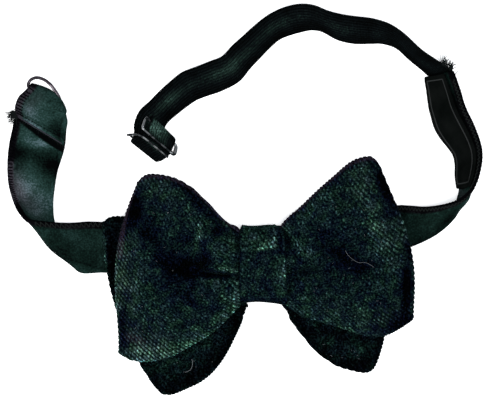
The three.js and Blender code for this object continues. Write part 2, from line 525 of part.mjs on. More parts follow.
// Step outward from the bar of the eye.
function eyeOutward(distance) {
  const turn = THREE.MathUtils.degToRad(eye.turn);
  return new THREE.Vector3(-distance * Math.sin(turn), distance * Math.cos(turn), 0);
}

// Place on the clasp: along the bars, outward from the hook and up, with the left end tipped.
function claspPoint(along, out, up) {
  const turn = THREE.MathUtils.degToRad(clasp.turn);
  const shifted = along + clasp.lean * (up - 0.6) - clasp.slant * Math.max(0, out - 0.9);
  const far = out + clasp.fan * (1 - along) * THREE.MathUtils.smoothstep(out, -1, 4.7);
  const x = clasp.x + shifted * Math.cos(turn) - far * Math.sin(turn);
  const y = clasp.y + shifted * Math.sin(turn) + far * Math.cos(turn);
  const raised = clasp.tip * (clasp.tipFrom - along) * THREE.MathUtils.smoothstep(up, 0.6, 3.4);
  return new THREE.Vector3(x, y, up + raised);
}

function tableRow(a, b, push) {
  return { ax: a.x, ay: a.y, az: a.z, bx: b.x, by: b.y, bz: b.z, camber: 0, push };
}

const unpushed = (table) => table.map((row) => ({ ...row, push: 0 }));

// The turn of the band round the bar of the eye, from the upper layer to the lower one.
const foldTurn = [80, 45, 0, -45, -80].map((degrees) => {
  const angle = THREE.MathUtils.degToRad(degrees);
  const radius = wireRadius + seatGap + satinThickness / 2;
  const out = radius * Math.cos(angle);
  const up = eye.lift + radius * Math.sin(angle);
  const push = eye.foldBulge * Math.cos(angle);
  return tableRow(eyePoint(-eye.foldHalfWidth, out, up), eyePoint(eye.foldHalfWidth, out, up), push);
});

const bandTable = [
  ...unpushed(foldBack), ...foldTurn, ...unpushed(leftRun), ...unpushed(leftRoll),
  ...unpushed(underBow), ...unpushed(rightTwist),
];
const elasticLoop = elasticEnd.map((row) => tableRow(
  claspPoint(row.shift - row.width / 2, row.out, row.up),
  claspPoint(row.shift + row.width / 2, row.out, row.up),
  0,
));
const elasticTable = [...unpushed(elasticRun), ...elasticLoop];

// Shares of the band's width between which the label lies, at the corner and at the end.
const labelEdge = { corner: 0.06, end: 0.24, fold: 0.97 };

// Label on the inner face of the band, from its end by the elastic down to the corner.
function labelGrid() {
  const rows = { first: bandTable.length - rightTwist.length + 7, last: bandTable.length - 1 };
  const edges = (t) => [THREE.MathUtils.lerp(labelEdge.corner, labelEdge.end, t), labelEdge.fold];
  const grid = strapGrid(bandTable, 2, 3, rows, edges);
  const normals = gridNormals(grid);
  const lift = satinThickness / 2 + labelGap + labelThickness / 2;
  const facing = Math.sign(normals[normals.length - 1][0].z);
  return grid.map((line, i) => line.map((p, j) => p.clone().addScaledVector(normals[i][j], facing * lift)));
}

function slidePoints() {
  const { left, right, nearOut, nearUp, farOut, farUp, corner } = slide;
  const places = [
    [left + corner, 0], [right - corner, 0], [right - corner * 0.3, 0.07], [right, 0.22],
    [right, 0.78], [right - corner * 0.3, 0.93], [right - corner, 1], [left + corner, 1],
    [left + corner * 0.3, 0.93], [left, 0.78], [left, 0.22], [left + corner * 0.3, 0.07],
  ];
  return places.map(([along, share]) => claspPoint(
    along,
    THREE.MathUtils.lerp(nearOut, farOut, share),
    THREE.MathUtils.lerp(nearUp, farUp, share),
  ));
}

function smoothPoints(points, count, looped) {
  const curve = new THREE.CatmullRomCurve3(points, looped, 'centripetal');
  const spaced = curve.getPoints(count);
  return looped ? spaced.slice(0, -1) : spaced;
}

const looks = {
  velvet: new THREE.MeshStandardMaterial({ color: 0x14211f, roughness: 0.95, metalness: 0 }),
  backVelvet: new THREE.MeshStandardMaterial({ color: 0x0b1414, roughness: 0.95, metalness: 0 }),
  satin: new THREE.MeshStandardMaterial({ color: 0x2b423d, roughness: 0.45, metalness: 0 }),
  elastic: new THREE.MeshStandardMaterial({ color: 0x0c1210, roughness: 0.8, metalness: 0 }),
  label: new THREE.MeshStandardMaterial({ color: 0x0a0c0b, roughness: 0.5, metalness: 0 }),
  steel: new THREE.MeshStandardMaterial({ color: 0xa9b0ad, roughness: 0.3, metalness: 1 }),
};

function named(name, geometry, material) {
  const mesh = new THREE.Mesh(geometry, material);
  mesh.name = name;
  return mesh;
}

const laidOut = new THREE.Group();
const frontGrid = bowGrid(
  frontLeft, rims.frontLeft, frontRight, rims.frontRight, waist.frontLift, frontFolds, 17, 14,
);
const backGrid = bowGrid(
  backLeft, rims.backLeft, backRight, rims.backRight, waist.backLift, backFolds, 13, 10,
);
laidOut.add(named('front_bow', clothOnGrid(frontGrid, velvetThickness, 0.5), looks.velvet));
laidOut.add(named('back_bow', clothOnGrid(backGrid, velvetThickness, 0.5), looks.backVelvet));
laidOut.add(named('knot', knotGeometry(), looks.velvet));
laidOut.add(named('neck_band', clothOnGrid(strapGrid(bandTable, 2, 3), satinThickness, 1), looks.satin));
laidOut.add(named('label', clothOnGrid(labelGrid(), labelThickness, 1), looks.label));
laidOut.add(named('elastic_strap', clothOnGrid(strapGrid(elasticTable, 2, 3), elasticThickness, 1), looks.elastic));

const eyePoints = eyeOutline.map((row) => eyePoint(row.along, row.out, eye.lift));
laidOut.add(named('eye_ring', wire(smoothPoints(eyePoints, 32, true), wireRadius, 8, true), looks.steel));
const hookPoints = hookBends.map((row) => claspPoint(row.along, row.out, row.up));
laidOut.add(named('hook_wire', wire(smoothPoints(hookPoints, 26, false), hookWireRadius, 8, false), looks.steel));
laidOut.add(named('adjuster_slide', wire(slidePoints(), hookWireRadius, 8, true), looks.steel));

// The whole tie is shifted so that the origin is the middle of its underside.
const reach = new THREE.Box3().setFromObject(laidOut);
laidOut.position.set(-(reach.min.x + reach.max.x) / 2, -(reach.min.y + reach.max.y) / 2, -reach.min.z);

const bowTie = new THREE.Group();
bowTie.add(laidOut);
bowTie.updateMatrixWorld(true);

export default bowTie;
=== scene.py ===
# %% [markdown]
# # A pre-tied velvet bow tie, lying unclasped on a white table
# The tie is a lesson in thin things: two lengths of velvet pinched by a knot, a satin band
# that rolls and twists, a ribbed elastic, and three pieces of bent wire. The solid model
# gives the frame that everything sits in, so the first step is to load it and to note where
# the knot lies in it.

# %% Load the frame
import math
from functools import partial
import bpy
import numpy as np
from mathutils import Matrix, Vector


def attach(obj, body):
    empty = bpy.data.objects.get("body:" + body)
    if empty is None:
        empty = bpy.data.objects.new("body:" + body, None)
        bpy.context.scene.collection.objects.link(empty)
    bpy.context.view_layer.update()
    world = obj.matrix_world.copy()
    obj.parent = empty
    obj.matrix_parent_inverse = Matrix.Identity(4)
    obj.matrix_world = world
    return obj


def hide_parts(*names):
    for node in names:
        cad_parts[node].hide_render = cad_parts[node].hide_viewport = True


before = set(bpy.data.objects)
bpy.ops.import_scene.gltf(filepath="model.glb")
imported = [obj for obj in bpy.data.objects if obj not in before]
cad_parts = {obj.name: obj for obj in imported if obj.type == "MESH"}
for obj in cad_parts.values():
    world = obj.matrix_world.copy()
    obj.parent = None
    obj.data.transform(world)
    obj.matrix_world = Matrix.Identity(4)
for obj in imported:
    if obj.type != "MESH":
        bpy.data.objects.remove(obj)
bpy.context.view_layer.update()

MM = 0.001
# The knot's middle on the table, in the frame of the solids. Every table below counts from it.
KNOT_AT = np.array([7.265347, -25.404961, 0.049739]) * MM

# %% [markdown]
# ## Camera
# The picture looks straight down from about arm's length. 192.5 mm of table fill the 500
# pixels, so with a 36 mm sensor the lens follows from similar triangles: lens = sensor x
# distance / width. A long lens from far away would flatten the tie a little more.

# %% Camera
DISTANCE, VIEW_WIDTH, SENSOR = 0.9, 0.1925, 36


def new_object(name, data):
    """An object with this data, put into the scene."""
    thing = bpy.data.objects.new(name, data)
    bpy.context.scene.collection.objects.link(thing)
    return thing


camera_data = bpy.data.cameras.new("camera")
camera_data.sensor_width = SENSOR
camera_data.lens = SENSOR * DISTANCE / VIEW_WIDTH
camera_data.clip_start = 0.01
camera = new_object("camera", camera_data)
camera.location = (KNOT_AT[0] - 4.81 * MM, KNOT_AT[1] + 25.03 * MM, DISTANCE)
bpy.context.scene.camera = camera
print("lens", round(camera_data.lens, 1), "mm")

# %% [markdown]
# ## Nodes in one line each
# A material is a small graph. This helper adds a node, sets its options and fills its inputs,
# with a number or with another node's output, so that a whole graph reads like a recipe.

# %% Node helpers
def add(tree, kind, inputs=None, **options):
    """Add one node; each input gets a plain value, or a link when the value is a socket."""
    node = tree.nodes.new(kind)
    for key, value in options.items():
        setattr(node, key, value)
    for key, value in (inputs or {}).items():
        if isinstance(value, bpy.types.NodeSocket):
            tree.links.new(value, node.inputs[key])
        else:
            node.inputs[key].default_value = value
    return node


def calc(operation, *values):
    """One sum on numbers, put into the tree that the sockets among them belong to."""
    tree = next(v.id_data for v in values if isinstance(v, bpy.types.NodeSocket))
    return add(tree, "ShaderNodeMath", dict(enumerate(values)), operation=operation).outputs[0]


plus, minus, times, ratio, power, times_plus = (
    partial(calc, name) for name in ("ADD", "SUBTRACT", "MULTIPLY", "DIVIDE", "POWER", "MULTIPLY_ADD"))


def blend_colour(share, first, second):
    """first where share is 0 and second where it is 1."""
    inputs = {0: share, 6: first, 7: second}
    return add(share.id_data, "ShaderNodeMix", inputs, data_type="RGBA").outputs[2]


def scale_colour(colour, factor):
    """The colour made brighter or darker by a number."""
    inputs = {0: colour, "Scale": factor}
    return add(factor.id_data, "ShaderNodeVectorMath", inputs, operation="SCALE").outputs[0]


def noise(place, scale, detail):
    """Smooth noise between 0 and 1, with scale waves to the metre."""
    inputs = {"Vector": place, "Scale": scale, "Detail": detail}
    return add(place.id_data, "ShaderNodeTexNoise", inputs).outputs[0]


def object_place(tree):
    """Place on the object in metres."""
    return add(tree, "ShaderNodeTexCoord").outputs["Object"]


def painted(tree, name):
    """The number that is stored under a name on each point of the mesh."""
    return add(tree, "ShaderNodeAttribute", attribute_name=name).outputs["Fac"]


def ramp(value, *stops):
    """Colour by number: each stop is (place, red, green, blue), with straight blends between."""
    node = add(value.id_data, "ShaderNodeValToRGB", {0: value})
    elements = node.color_ramp.elements
    for place, *_ in stops[2:]:
        elements.new(place)
    for element, (place, *colour) in zip(elements, stops):
        element.position = place
        element.color = (*colour, 1)
    return node.outputs[0]


def remap(value, low, high, to_low=0.0, to_high=1.0):
    """Stretch low..high to to_low..to_high and cut off what lies beyond."""
    inputs = {"Value": value, "From Min": low, "From Max": high, "To Min": to_low, "To Max": to_high}
    return add(value.id_data, "ShaderNodeMapRange", inputs).outputs[0]


def wander(value, *noises):
    """The number plus (noise - 0.5) * gain for each pair of a noise and its gain."""
    for source, gain in noises:
        value = times_plus(minus(source, 0.5), gain, value)
    return value


def dress(shader, colour, height, strength, distance):
    """Give the shader its colour, and a bump from a height between 0 and 1."""
    tree = shader.id_data
    tree.links.new(colour, shader.inputs["Base Color"])
    bump = add(tree, "ShaderNodeBump", {"Height": height, "Strength": strength, "Distance": distance})
    tree.links.new(bump.outputs[0], shader.inputs["Normal"])


def new_group(name, **inputs):
    """An empty node group with number inputs, each with a start value."""
    tree = bpy.data.node_groups.new(name, "ShaderNodeTree")
    for key, value in inputs.items():
        socket = tree.interface.new_socket(key, in_out="INPUT", socket_type="NodeSocketFloat")
        socket.default_value = value
    return tree, tree.nodes.new("NodeGroupInput").outputs


def close_group(tree, **outputs):
    """Give the group its named outputs."""
    for key in outputs:
        tree.interface.new_socket(key, in_out="OUTPUT", socket_type="NodeSocketFloat")
    add(tree, "NodeGroupOutput", outputs)
    return tree


def use_group(tree, group, **values):
    """Place a node group with its own numbers."""
    return add(tree, "ShaderNodeGroup", values, node_tree=group).outputs


def new_material(name, **constants):
    """A material with one Principled shader; constants go straight on the shader's own sockets."""
    material = bpy.data.materials.new(name)
    material.use_nodes = True
    tree = material.node_tree
    shader = next(n for n in tree.nodes if n.type == "BSDF_PRINCIPLED")
    for key, value in constants.items():
        shader.inputs[key.replace("_", " ")].default_value = value
    return material, tree, shader

# %% [markdown]
# ## Table and light
# The tie lies on a table that photographs pure white, lit softly from all around with a
# stronger window at the lower left. A floor that gives off a little light of its own stays
# white under the cloth's shadow, as a lightbox does.

# %% Floor, sky and lamps
bpy.context.scene.view_settings.view_transform = "Standard"
white, white_tree, white_shader = new_material(
    "white_table", Roughness=0.9, Emission_Color=(1, 1, 1, 1), Emission_Strength=0.45)
paper = add(white_tree, "ShaderNodeTexNoise", {"Scale": 900.0, "Detail": 2.0}).outputs[0]
white_tree.links.new(blend_colour(paper, (0.94, 0.94, 0.94, 1), (0.97, 0.97, 0.97, 1)),
                     white_shader.inputs["Base Color"])
floor_mesh = bpy.data.meshes.new("floor")
floor_mesh.from_pydata([(-3, -3, 0), (3, -3, 0), (3, 3, 0), (-3, 3, 0)], [], [(0, 1, 2, 3)])
floor_mesh.materials.append(white)
floor = new_object("floor", floor_mesh)

world = bpy.data.worlds.new("soft_sky")
bpy.context.scene.world = world
world.use_nodes = True
sky = world.node_tree.nodes["Background"]
direction = add(world.node_tree, "ShaderNodeTexCoord").outputs["Generated"]
height = add(world.node_tree, "ShaderNodeSeparateXYZ", {0: direction}).outputs[2]
tint = ramp(height, (0.0, 0.25, 0.26, 0.27), (0.7, 0.88, 0.92, 0.96))
world.node_tree.links.new(tint, sky.inputs["Color"])
sky.inputs["Strength"].default_value = 1.0


def lamp(name, at, size, watts, colour):
    """A square area lamp at a place over the knot, turned to face it."""
    data = bpy.data.lights.new(name, "AREA")
    data.size, data.energy, data.color = size, watts, colour
    light = new_object(name, data)
    light.location = at
    light.rotation_euler = (-Vector(at)).to_track_quat("-Z", "Y").to_euler()


lamp("window", (-0.80, -0.60, 0.75), 0.6, 14.0, (1.0, 0.99, 0.97))
lamp("ceiling", (0.12, -0.10, 1.4), 0.3, 10.0, (0.95, 0.98, 1.0))

# %% [markdown]
# ## From tables to surfaces
# A cloth shape is told by a short table: one row for each section, one column for each thing
# that changes from section to section. Between the rows the columns run on smooth cubic
# curves. Then a grid of (along, across) numbers turns into points all at once.

# %% Reading tables
def table(columns, text):
    """Rows of numbers under named columns."""
    return np.array(text.split(), float).reshape(-1, len(columns.split()))


def along_table(rows, places, s):
    """All columns at distance s. Between two rows a cubic joins them, and its slope at a row is
    the change from the row before to the row after, divided by the distance between those."""
    s = np.asarray(s, float)
    last = len(places) - 1
    k = np.clip(np.searchsorted(places, s) - 1, 0, last - 1)
    index = np.arange(last + 1)
    before, after = np.maximum(index - 1, 0), np.minimum(index + 1, last)
    slope = (rows[after] - rows[before]) / (places[after] - places[before])[:, None]
    span = (places[k + 1] - places[k])[:, None]
    t = (s[:, None] - places[k][:, None]) / span
    t2, t3 = t * t, t * t * t
    return (rows[k] * (2 * t3 - 3 * t2 + 1) + slope[k] * span * (t3 - 2 * t2 + t)
            + rows[k + 1] * (3 * t2 - 2 * t3) + slope[k + 1] * span * (t3 - t2))


def run_along(points):
    """Distance run at each point of a path: the sum of the steps before it."""
    steps = np.linalg.norm(np.diff(points, axis=0), axis=-1)
    return np.concatenate([np.zeros((1, *steps.shape[1:])), np.cumsum(steps, axis=0)])


def run_across(grid):
    """The same along each row of a grid."""
    return run_along(grid.swapaxes(0, 1)).T


def smoothstep(x, low, high):
    """0 below low, 1 above high and an S-curve between: t*t*(3 - 2t)."""
    t = np.clip((x - low) / (high - low), 0, 1)
    return t * t * (3 - 2 * t)


def bell(distance, width):
    """1 at no distance and nearly 0 from twice the width on: exp(-(distance / width)^2)."""
    return np.exp(-(distance / width) ** 2)


def unit(vectors):
    """The same directions with length 1."""
    return vectors / np.maximum(np.linalg.norm(vectors, axis=-1, keepdims=True), 1e-12)


def steps_with_fine_ends(count, fine):
    """Numbers from 0 to 1: a few given fine steps at either end, even steps between."""
    fine = np.asarray(fine, float)
    middle = np.linspace(fine[-1], 1 - fine[-1], count)[1:-1]
    return np.concatenate([fine, middle, 1 - fine[::-1]])

# %% [markdown]
# ## From grids to closed cloth
# Real cloth has two faces and a rounded edge. `shell` moves a grid up and down along its own
# normals. The half thickness falls to nothing at the border on a quarter circle, so the two
# faces share the border points and the body is closed, with no seam to hide.

# %% Mesh helpers
def quads(index, wrap_rows=False, wrap_columns=False):
    """Four-sided faces between neighbouring numbers of an index grid."""
    if wrap_rows:
        index = np.vstack([index, index[:1]])
    if wrap_columns:
        index = np.hstack([index, index[:, :1]])
    return np.stack([index[:-1, :-1], index[1:, :-1], index[1:, 1:], index[:-1, 1:]], -1).reshape(-1, 4)


def new_piece(name, points, faces, material, slot, uvs=None, **numbers):
    """A mesh object from quads and points in mm round the knot, with UV layers and numbers on its
    points. The faces are turned outward by the sign of the volume."""
    p = np.asarray(points, float) * MM + KNOT_AT
    a, b, c, d = (p[faces[:, i]] for i in range(4))
    volume = np.einsum("ij,ij->", a, np.cross(b, c)) + np.einsum("ij,ij->", a, np.cross(c, d))
    if volume < 0:
        faces = faces[:, ::-1]
    mesh = bpy.data.meshes.new(name)
    mesh.vertices.add(len(p))
    mesh.vertices.foreach_set("co", p.astype(np.float32).ravel())
    mesh.loops.add(faces.size)
    mesh.loops.foreach_set("vertex_index", faces.astype(np.int32).ravel())
    mesh.polygons.add(len(faces))
    mesh.polygons.foreach_set("loop_start", np.arange(0, faces.size, 4, dtype=np.int32))
    mesh.polygons.foreach_set("use_smooth", np.ones(len(faces), bool))
    mesh.update(calc_edges=True)
    for key, values in (uvs or {}).items():
        layer = mesh.uv_layers.new(name=key)
        layer.data.foreach_set("uv", values[faces.ravel()].astype(np.float32).ravel())
    for key, values in numbers.items():
        layer = mesh.attributes.new(key, "FLOAT", "POINT")
        layer.data.foreach_set("value", values.astype(np.float32).ravel())
    mesh.materials.append(material)
    piece = new_object(name, mesh)
    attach(piece, "root")
    print(f"{name}: {2 * len(faces)} triangles, {abs(volume) / 6 * 1e9:.0f} cubic mm")
    return piece


def grid_normals(grid):
    """Unit cross product of the grid's two central differences."""
    return unit(np.cross(np.gradient(grid, axis=0), np.gradient(grid, axis=1)))


def to_border(grid):
    """Distance in mm from each grid point to the border, along the rows and along the columns."""
    along, across = run_along(grid), run_across(grid)
    return np.minimum(along, along[-1:] - along), np.minimum(across, across[:, -1:] - across)


def round_edge(distance, radius):
    """Quarter circle: sqrt(1 - (1 - d/r)^2), from 0 at the border to 1 at the radius and on."""
    return np.sqrt(1 - (1 - np.clip(distance / radius, 0, 1)) ** 2)


def shell(grid, thickness):
    """Points and quads of closed cloth round a grid, and the grid number of each point."""
    along, across = to_border(grid)
    radius = thickness / 2
    half = radius * round_edge(along, radius) * round_edge(across, radius)
    normal = grid_normals(grid)
    rows, columns = grid.shape[:2]
    upper = np.arange(rows * columns).reshape(rows, columns)
    lower = upper.copy()
    inner = np.arange((rows - 2) * (columns - 2)).reshape(rows - 2, columns - 2)
    lower[1:-1, 1:-1] = rows * columns + inner
    above = (grid + normal * half[..., None]).reshape(-1, 3)
    below = (grid - normal * half[..., None])[1:-1, 1:-1].reshape(-1, 3)
    source = np.concatenate([upper.ravel(), upper[1:-1, 1:-1].ravel()])
    faces = np.concatenate([quads(upper), quads(lower)[:, ::-1]])
    return np.concatenate([above, below]), faces, source

# %% [markdown]
# ## The pile of the velvet
# The velvet is woven with a fine diagonal rib. Each rib is broken into short tufts, so the
# cloth looks dotted where it bends, with about 1.4 mm from rib to rib. The group turns
# the place on the piece by the slant, waves it with noise so that no rib is ruled, and
# makes two waves: one across the ribs and one along them, shifted from rib to rib.

# %% Pile group
RIB_PITCH, TUFT_PITCH, RIB_SLANT = 1.38, 1.75, 0.80
FULL_TURN = 6.2832


def pile_group():
    """crest = wave across the ribs times a wave along them; cloud = slow noise; fleck = rare specks."""
    tree, given = new_group("diagonal_pile", Rib=RIB_PITCH * MM, Tuft=TUFT_PITCH * MM, Slant=RIB_SLANT,
                            Waver=0.6)
    place = object_place(tree)
    split = add(tree, "ShaderNodeSeparateXYZ", {0: place}).outputs
    cosine, sine = calc("COSINE", given["Slant"]), calc("SINE", given["Slant"])
    across = plus(times(split[0], sine), times(split[1], cosine))
    across = plus(across, times(split[2], 0.6))
    along = minus(times(split[0], cosine), times(split[1], sine))
    shift = times(minus(noise(place, 420.0, 1.0), 0.5), given["Waver"])
    rib = plus(ratio(across, given["Rib"]), shift)
    rib_wave = times_plus(calc("SINE", times(rib, FULL_TURN)), 0.5, 0.5)
    tuft = plus(ratio(along, given["Tuft"]), times(rib, 0.5))
    tuft_wave = times_plus(calc("SINE", times(tuft, FULL_TURN)), 0.35, 0.65)
    fuzz = noise(place, 2600.0, 3.0)
    cell = add(tree, "ShaderNodeCombineXYZ", {0: calc("FLOOR", rib), 1: calc("FLOOR", tuft)}).outputs[0]
    chance = add(tree, "ShaderNodeTexWhiteNoise", {"Vector": cell}, noise_dimensions="2D")
    return close_group(
        tree, Crest=times(times(rib_wave, tuft_wave), remap(fuzz, 0.3, 0.65, 0.35, 1.25)),
        Cloud=remap(noise(place, 230.0, 3.0), 0.38, 0.62), Dye=remap(noise(place, 300.0, 2.0), 0.40, 0.62),
        Grain=remap(noise(place, 1500.0, 1.0), 0.3, 0.7), Fleck=remap(noise(place, 900.0, 1.0), 0.74, 0.80),
        Fuzz=fuzz, Chance=chance.outputs["Value"])


PILE = pile_group()
print("pile group:", len(PILE.nodes), "nodes")

# %% [markdown]
# ## Velvet
# Velvet drinks light when you look down into the pile and glows a little when you look across
# it. That glow is the shader's sheen. A number on each point holds painted light and shade:
# high on the lit rims and puffs, where the velvet shows bottle green, and low in the shaded
# dents, where only a blue black is left. A second number, `bent`, says how far the cloth bends
# open, so that its ribs stand apart in even rows and some of the greyer backing shows; on the
# knot it follows the painted highlight and evens out its grain.

# %% Velvet materials
def velvet(name, light, crest_gain, deep):
    """Colour by painted light and shade, from blue black over deep to bottle green; brightness by the ribs
    and tufts, scaled by light, which is lower for a copy in painted shade.
    """
    material, tree, shader = new_material(
        name, Roughness=0.95, Specular_IOR_Level=0.0, Sheen_Weight=0.015, Sheen_Roughness=0.35,
        Sheen_Tint=(0.45, 1.0, 0.85, 1))
    pile = use_group(tree, PILE)
    # Colour and brightness follow the painted light and shade stored on each point.
    nap, bent = painted(tree, "nap"), painted(tree, "bent")
    half_nap = times(wander(nap, (pile["Cloud"], 0.30), (pile["Grain"], 0.45)), 0.5)
    hue = ramp(half_nap, (0.000, 0.0006, 0.0007, 0.0009), (0.125, *deep),
               (0.250, 0.0030, 0.0084, 0.0078), (0.375, 0.0072, 0.0190, 0.0142),
               (0.500, 0.0185, 0.0390, 0.0300), (0.800, 0.0200, 0.0950, 0.0800))
    cast = blend_colour(pile["Dye"], (0.94, 1.09, 0.93, 1), (0.97, 0.90, 1.24, 1))
    backing = blend_colour(bent, (1, 1, 1, 1), (1.22, 0.88, 0.93, 1))
    for tint in (cast, backing):
        hue = add(tree, "ShaderNodeVectorMath", {0: hue, 1: tint}, operation="MULTIPLY").outputs[0]
    spread = times_plus(power(pile["Chance"], 2.5), 2.7, 0.35)
    spread = times_plus(minus(1.3, spread), times(bent, 0.8), spread)
    crest = times(power(pile["Crest"], 1.5), spread)
    shown = calc("MAXIMUM", remap(nap, 0.35, 0.85, 0.30, 1.0), bent)
    crest = times_plus(minus(crest, 0.19), shown, 0.19)
    gain = times(times_plus(nap, crest_gain, 1.2), remap(bent, 0, 1, 1.0, 1.35))
    lift = times_plus(crest, gain, remap(bent, 0, 1, 0.25, 0.08))
    grain = times_plus(power(pile["Grain"], 1.5), 2.1, 0.2)
    even = times(minus(1.0, grain), times(bent, 0.75))
    lift = times(lift, plus(grain, even))
    lift = times(plus(lift, times(pile["Fleck"], 2.0)), light)
    colour = scale_colour(hue, lift)
    show_backing = times(remap(bent, 0.88, 1.0), times(pile["Grain"], 2.0))
    plum = scale_colour((0.0075, 0.0050, 0.0078), show_backing)
    colour = add(tree, "ShaderNodeVectorMath", {0: colour, 1: plum}, operation="ADD").outputs[0]
    dress(shader, colour, plus(pile["Crest"], times(pile["Fuzz"], 0.5)), 0.8, 0.00025)
    return material


# The back bow wears the same velvet made darker, with less light and duller ribs: painted shade.
VELVET = velvet("bottle_green_velvet", 1.0, 3.8, (0.0013, 0.0026, 0.0066))
SHADE_PAINTED_VELVET = velvet("shaded_velvet", 0.8, 3.2, (0.0018, 0.0033, 0.0040))
print("velvets:", VELVET.name, "and", SHADE_PAINTED_VELVET.name)

# %% [markdown]
# ## The wings
# A wing is a stack of sections from the knot out to the rim. Each section goes from a low end
# to a high end, bulges outward a little, and has three heights. In real life this is a tube
# of velvet, pressed flat and pinched. Modelling it as one length of cloth from rim to
# rim keeps the pleats running on through the knot.

# %% Wing tables
WING_COLUMNS = "low_x low_y high_x high_y bow low_z mid_z high_z"
FRONT_LEFT = table(WING_COLUMNS, """
-5.5 -10.2 -5.5 10.4 0 -1.5 0 0
-9 -12 -8.9 12.2 0 -1.5 0.1 -0.2
-9.5 -14.5 -9.4 14.6 0 -1.7 0.8 0
-12.5 -18.6 -14.5 17.2 0.34 -2 2.2 0.2
-19 -25 -21.4 24.6 1.03 -3.2 2.8 -0.6
-26.8 -29.9 -27 29.8 1.89 -4 2.4 -1.4
-35 -34.4 -33 33.3 2.74 -4.5 1.2 -2.2
-43 -36.4 -39.5 34.9 3.6 -4.7 -0.6 -2.8
-50.3 -36 -44.5 34.8 4.29 -4.8 -2.6 -3.3
-55.2 -33.2 -47.8 32 4.8 -4.9 -4 -3.7
""")
FRONT_RIGHT = table(WING_COLUMNS, """
5.5 -10.2 5.5 10.4 0 -1.5 0 0
9.9 -12 8.2 12.2 0 -1.5 0.1 -0.2
10.2 -14.5 8.7 14.7 0 -1.7 0.8 0
14.2 -18.4 14.5 22.4 0.29 -1.6 2 0.2
21.5 -21 20.8 28.7 0.96 -2.8 2.8 -0.2
30 -23.5 27.4 34.5 1.92 -3.4 3 -0.6
38 -26.1 33.4 39.6 2.88 -3.7 2.6 -1
46 -26.7 38.5 41.6 3.65 -3.8 1.4 -1.4
52.6 -23.8 42 41.4 4.42 -3.8 -0.6 -1.9
57.8 -20.2 44.5 38 4.8 -3.8 -2.6 -2.4
""")
BACK_LEFT = table(WING_COLUMNS, """
-5.5 -9.8 -5.5 9.8 0 -1.3 0 0
-8.9 -12 -9.4 10.2 0 -1.4 -0.2 -0.3
-9.3 -14.6 -11 11 0 -1.7 -0.6 -0.7
-8.5 -20.5 -15 11.8 0 -2.2 -1.2 -1.6
-11.7 -29.6 -25 13.2 1.2 -3.6 -1.6 -2.4
-16.4 -37.7 -36 15.5 2.6 -4.3 -2.2 -2.8
-22.5 -43.9 -46 17.8 4 -4.8 -2.8 -3
-30.2 -47.8 -53.7 18.9 5.2 -4.9 -3.2 -3.1
-35.2 -49.6 -58.5 18.6 6 -5 -3.4 -3.2
-38.6 -49.3 -61.4 16.6 6.4 -5 -3.5 -3.3
""")
BACK_RIGHT = table(WING_COLUMNS, """
5.5 -9.8 5.5 9.8 0 -1.3 0 0
9.9 -12 9.2 10.2 0 -1.4 -0.2 -0.3
10.1 -14.6 11 11 0 -1.7 -0.6 -0.7
11.5 -20.5 14 11.6 0 -2.2 -1.2 -1.4
15.6 -27.2 20 12.4 0.83 -3.6 -1.6 -1.6
21.5 -33.6 27 13.4 1.83 -4.4 -1.9 -1.8
28 -38.2 33 14.4 2.83 -4.8 -2.2 -1.9
34.5 -40.3 38 15 3.67 -4.9 -2.4 -2
39.6 -41.1 42 15 4.17 -5 -2.5 -2
42.4 -39.8 45 13.4 4.5 -5 -2.5 -2
""")
FOLD_COLUMNS = "x y along across turn rise"
FRONT_FOLDS = table(FOLD_COLUMNS, """
-15 -3 8 2.8 3 -3.2
-30 5 10 6 62 -4.4
-26 -1.5 6 4 15 -1.6
-16 9.5 6 5 40 2
-20 -12 9 5 32 1
16 -2 9 2.8 9 -3.2
34 2.5 11 7 15 -2.6
18 8 8 4 38 1.2
20 -11 9 4.5 -20 1
""")
BACK_FOLDS = table(FOLD_COLUMNS, """
-15 -20 12 3.5 62 1.2
19 -20 11 3.5 -52 1.2
""")
KNOT = dict(half_length=8.8, half_width=14.6, middle_y=0.2, height=15.9, wall=2.0, skew=0.9)
BACK_LIFT, FRONT_LIFT = 6.75, 10.5
PLEAT, PLEAT_PITCH, VALLEY_Y = 1.2, 13, -2.7
print("front wings:", len(FRONT_LEFT) + len(FRONT_RIGHT), "sections,", len(FRONT_FOLDS), "folds")

# %% [markdown]
# ## A wing from its sections
# A smooth sheet between the sections would look inflated. Cloth that is pinched has soft
# hollows and a few pleats, so the heights get a sum of soft hills and one wave on top. Hills
# are easy to place: a middle, a length, a width, a turn and a rise.

# %% Wing surface
def soft_hills(rows, x, y):
    """Sum of soft hills: rise * exp(-(along/length)^2 - (across/width)^2), each turned its own way."""
    height = np.zeros_like(x)
    for fx, fy, length, width, turn, rise in rows:
        c, s = math.cos(math.radians(turn)), math.sin(math.radians(turn))
        dx, dy = x - fx, y - fy
        height += rise * np.exp(-((dx * c + dy * s) / length) ** 2 - ((dy * c - dx * s) / width) ** 2)
    return height


def fold_height(folds, x, y):
    """The soft hills of a wing, fading at the knot."""
    out = np.abs(x) - KNOT["half_length"]
    return soft_hills(folds, x, y) * smoothstep(out, 0.6, 5.5)


def pleat_height(x, y):
    """A wave across the wing, deepest in the knot: -pleat * cos(2 pi (y - valley) / pitch)."""
    fade = 1 - smoothstep(np.abs(x), KNOT["half_length"], KNOT["half_length"] + 7)
    return -PLEAT * np.cos(2 * np.pi * (y - VALLEY_Y) / PLEAT_PITCH) * fade


def flare(x, y, low, high):
    """Past the knot's corners the freed cloth spreads back towards the middle, by low or high mm."""
    above = smoothstep(y, 13.6, 14.8) * (1 - smoothstep(y, 15, 25))
    below = smoothstep(-y, 13.2, 14.2) * (1 - 0.6 * smoothstep(-y, 14.6, 17.5))
    below = below * (1 - smoothstep(-y, 17.5, 28))
    return (low * below + high * above) * (1 - smoothstep(np.abs(x), 10, 19))


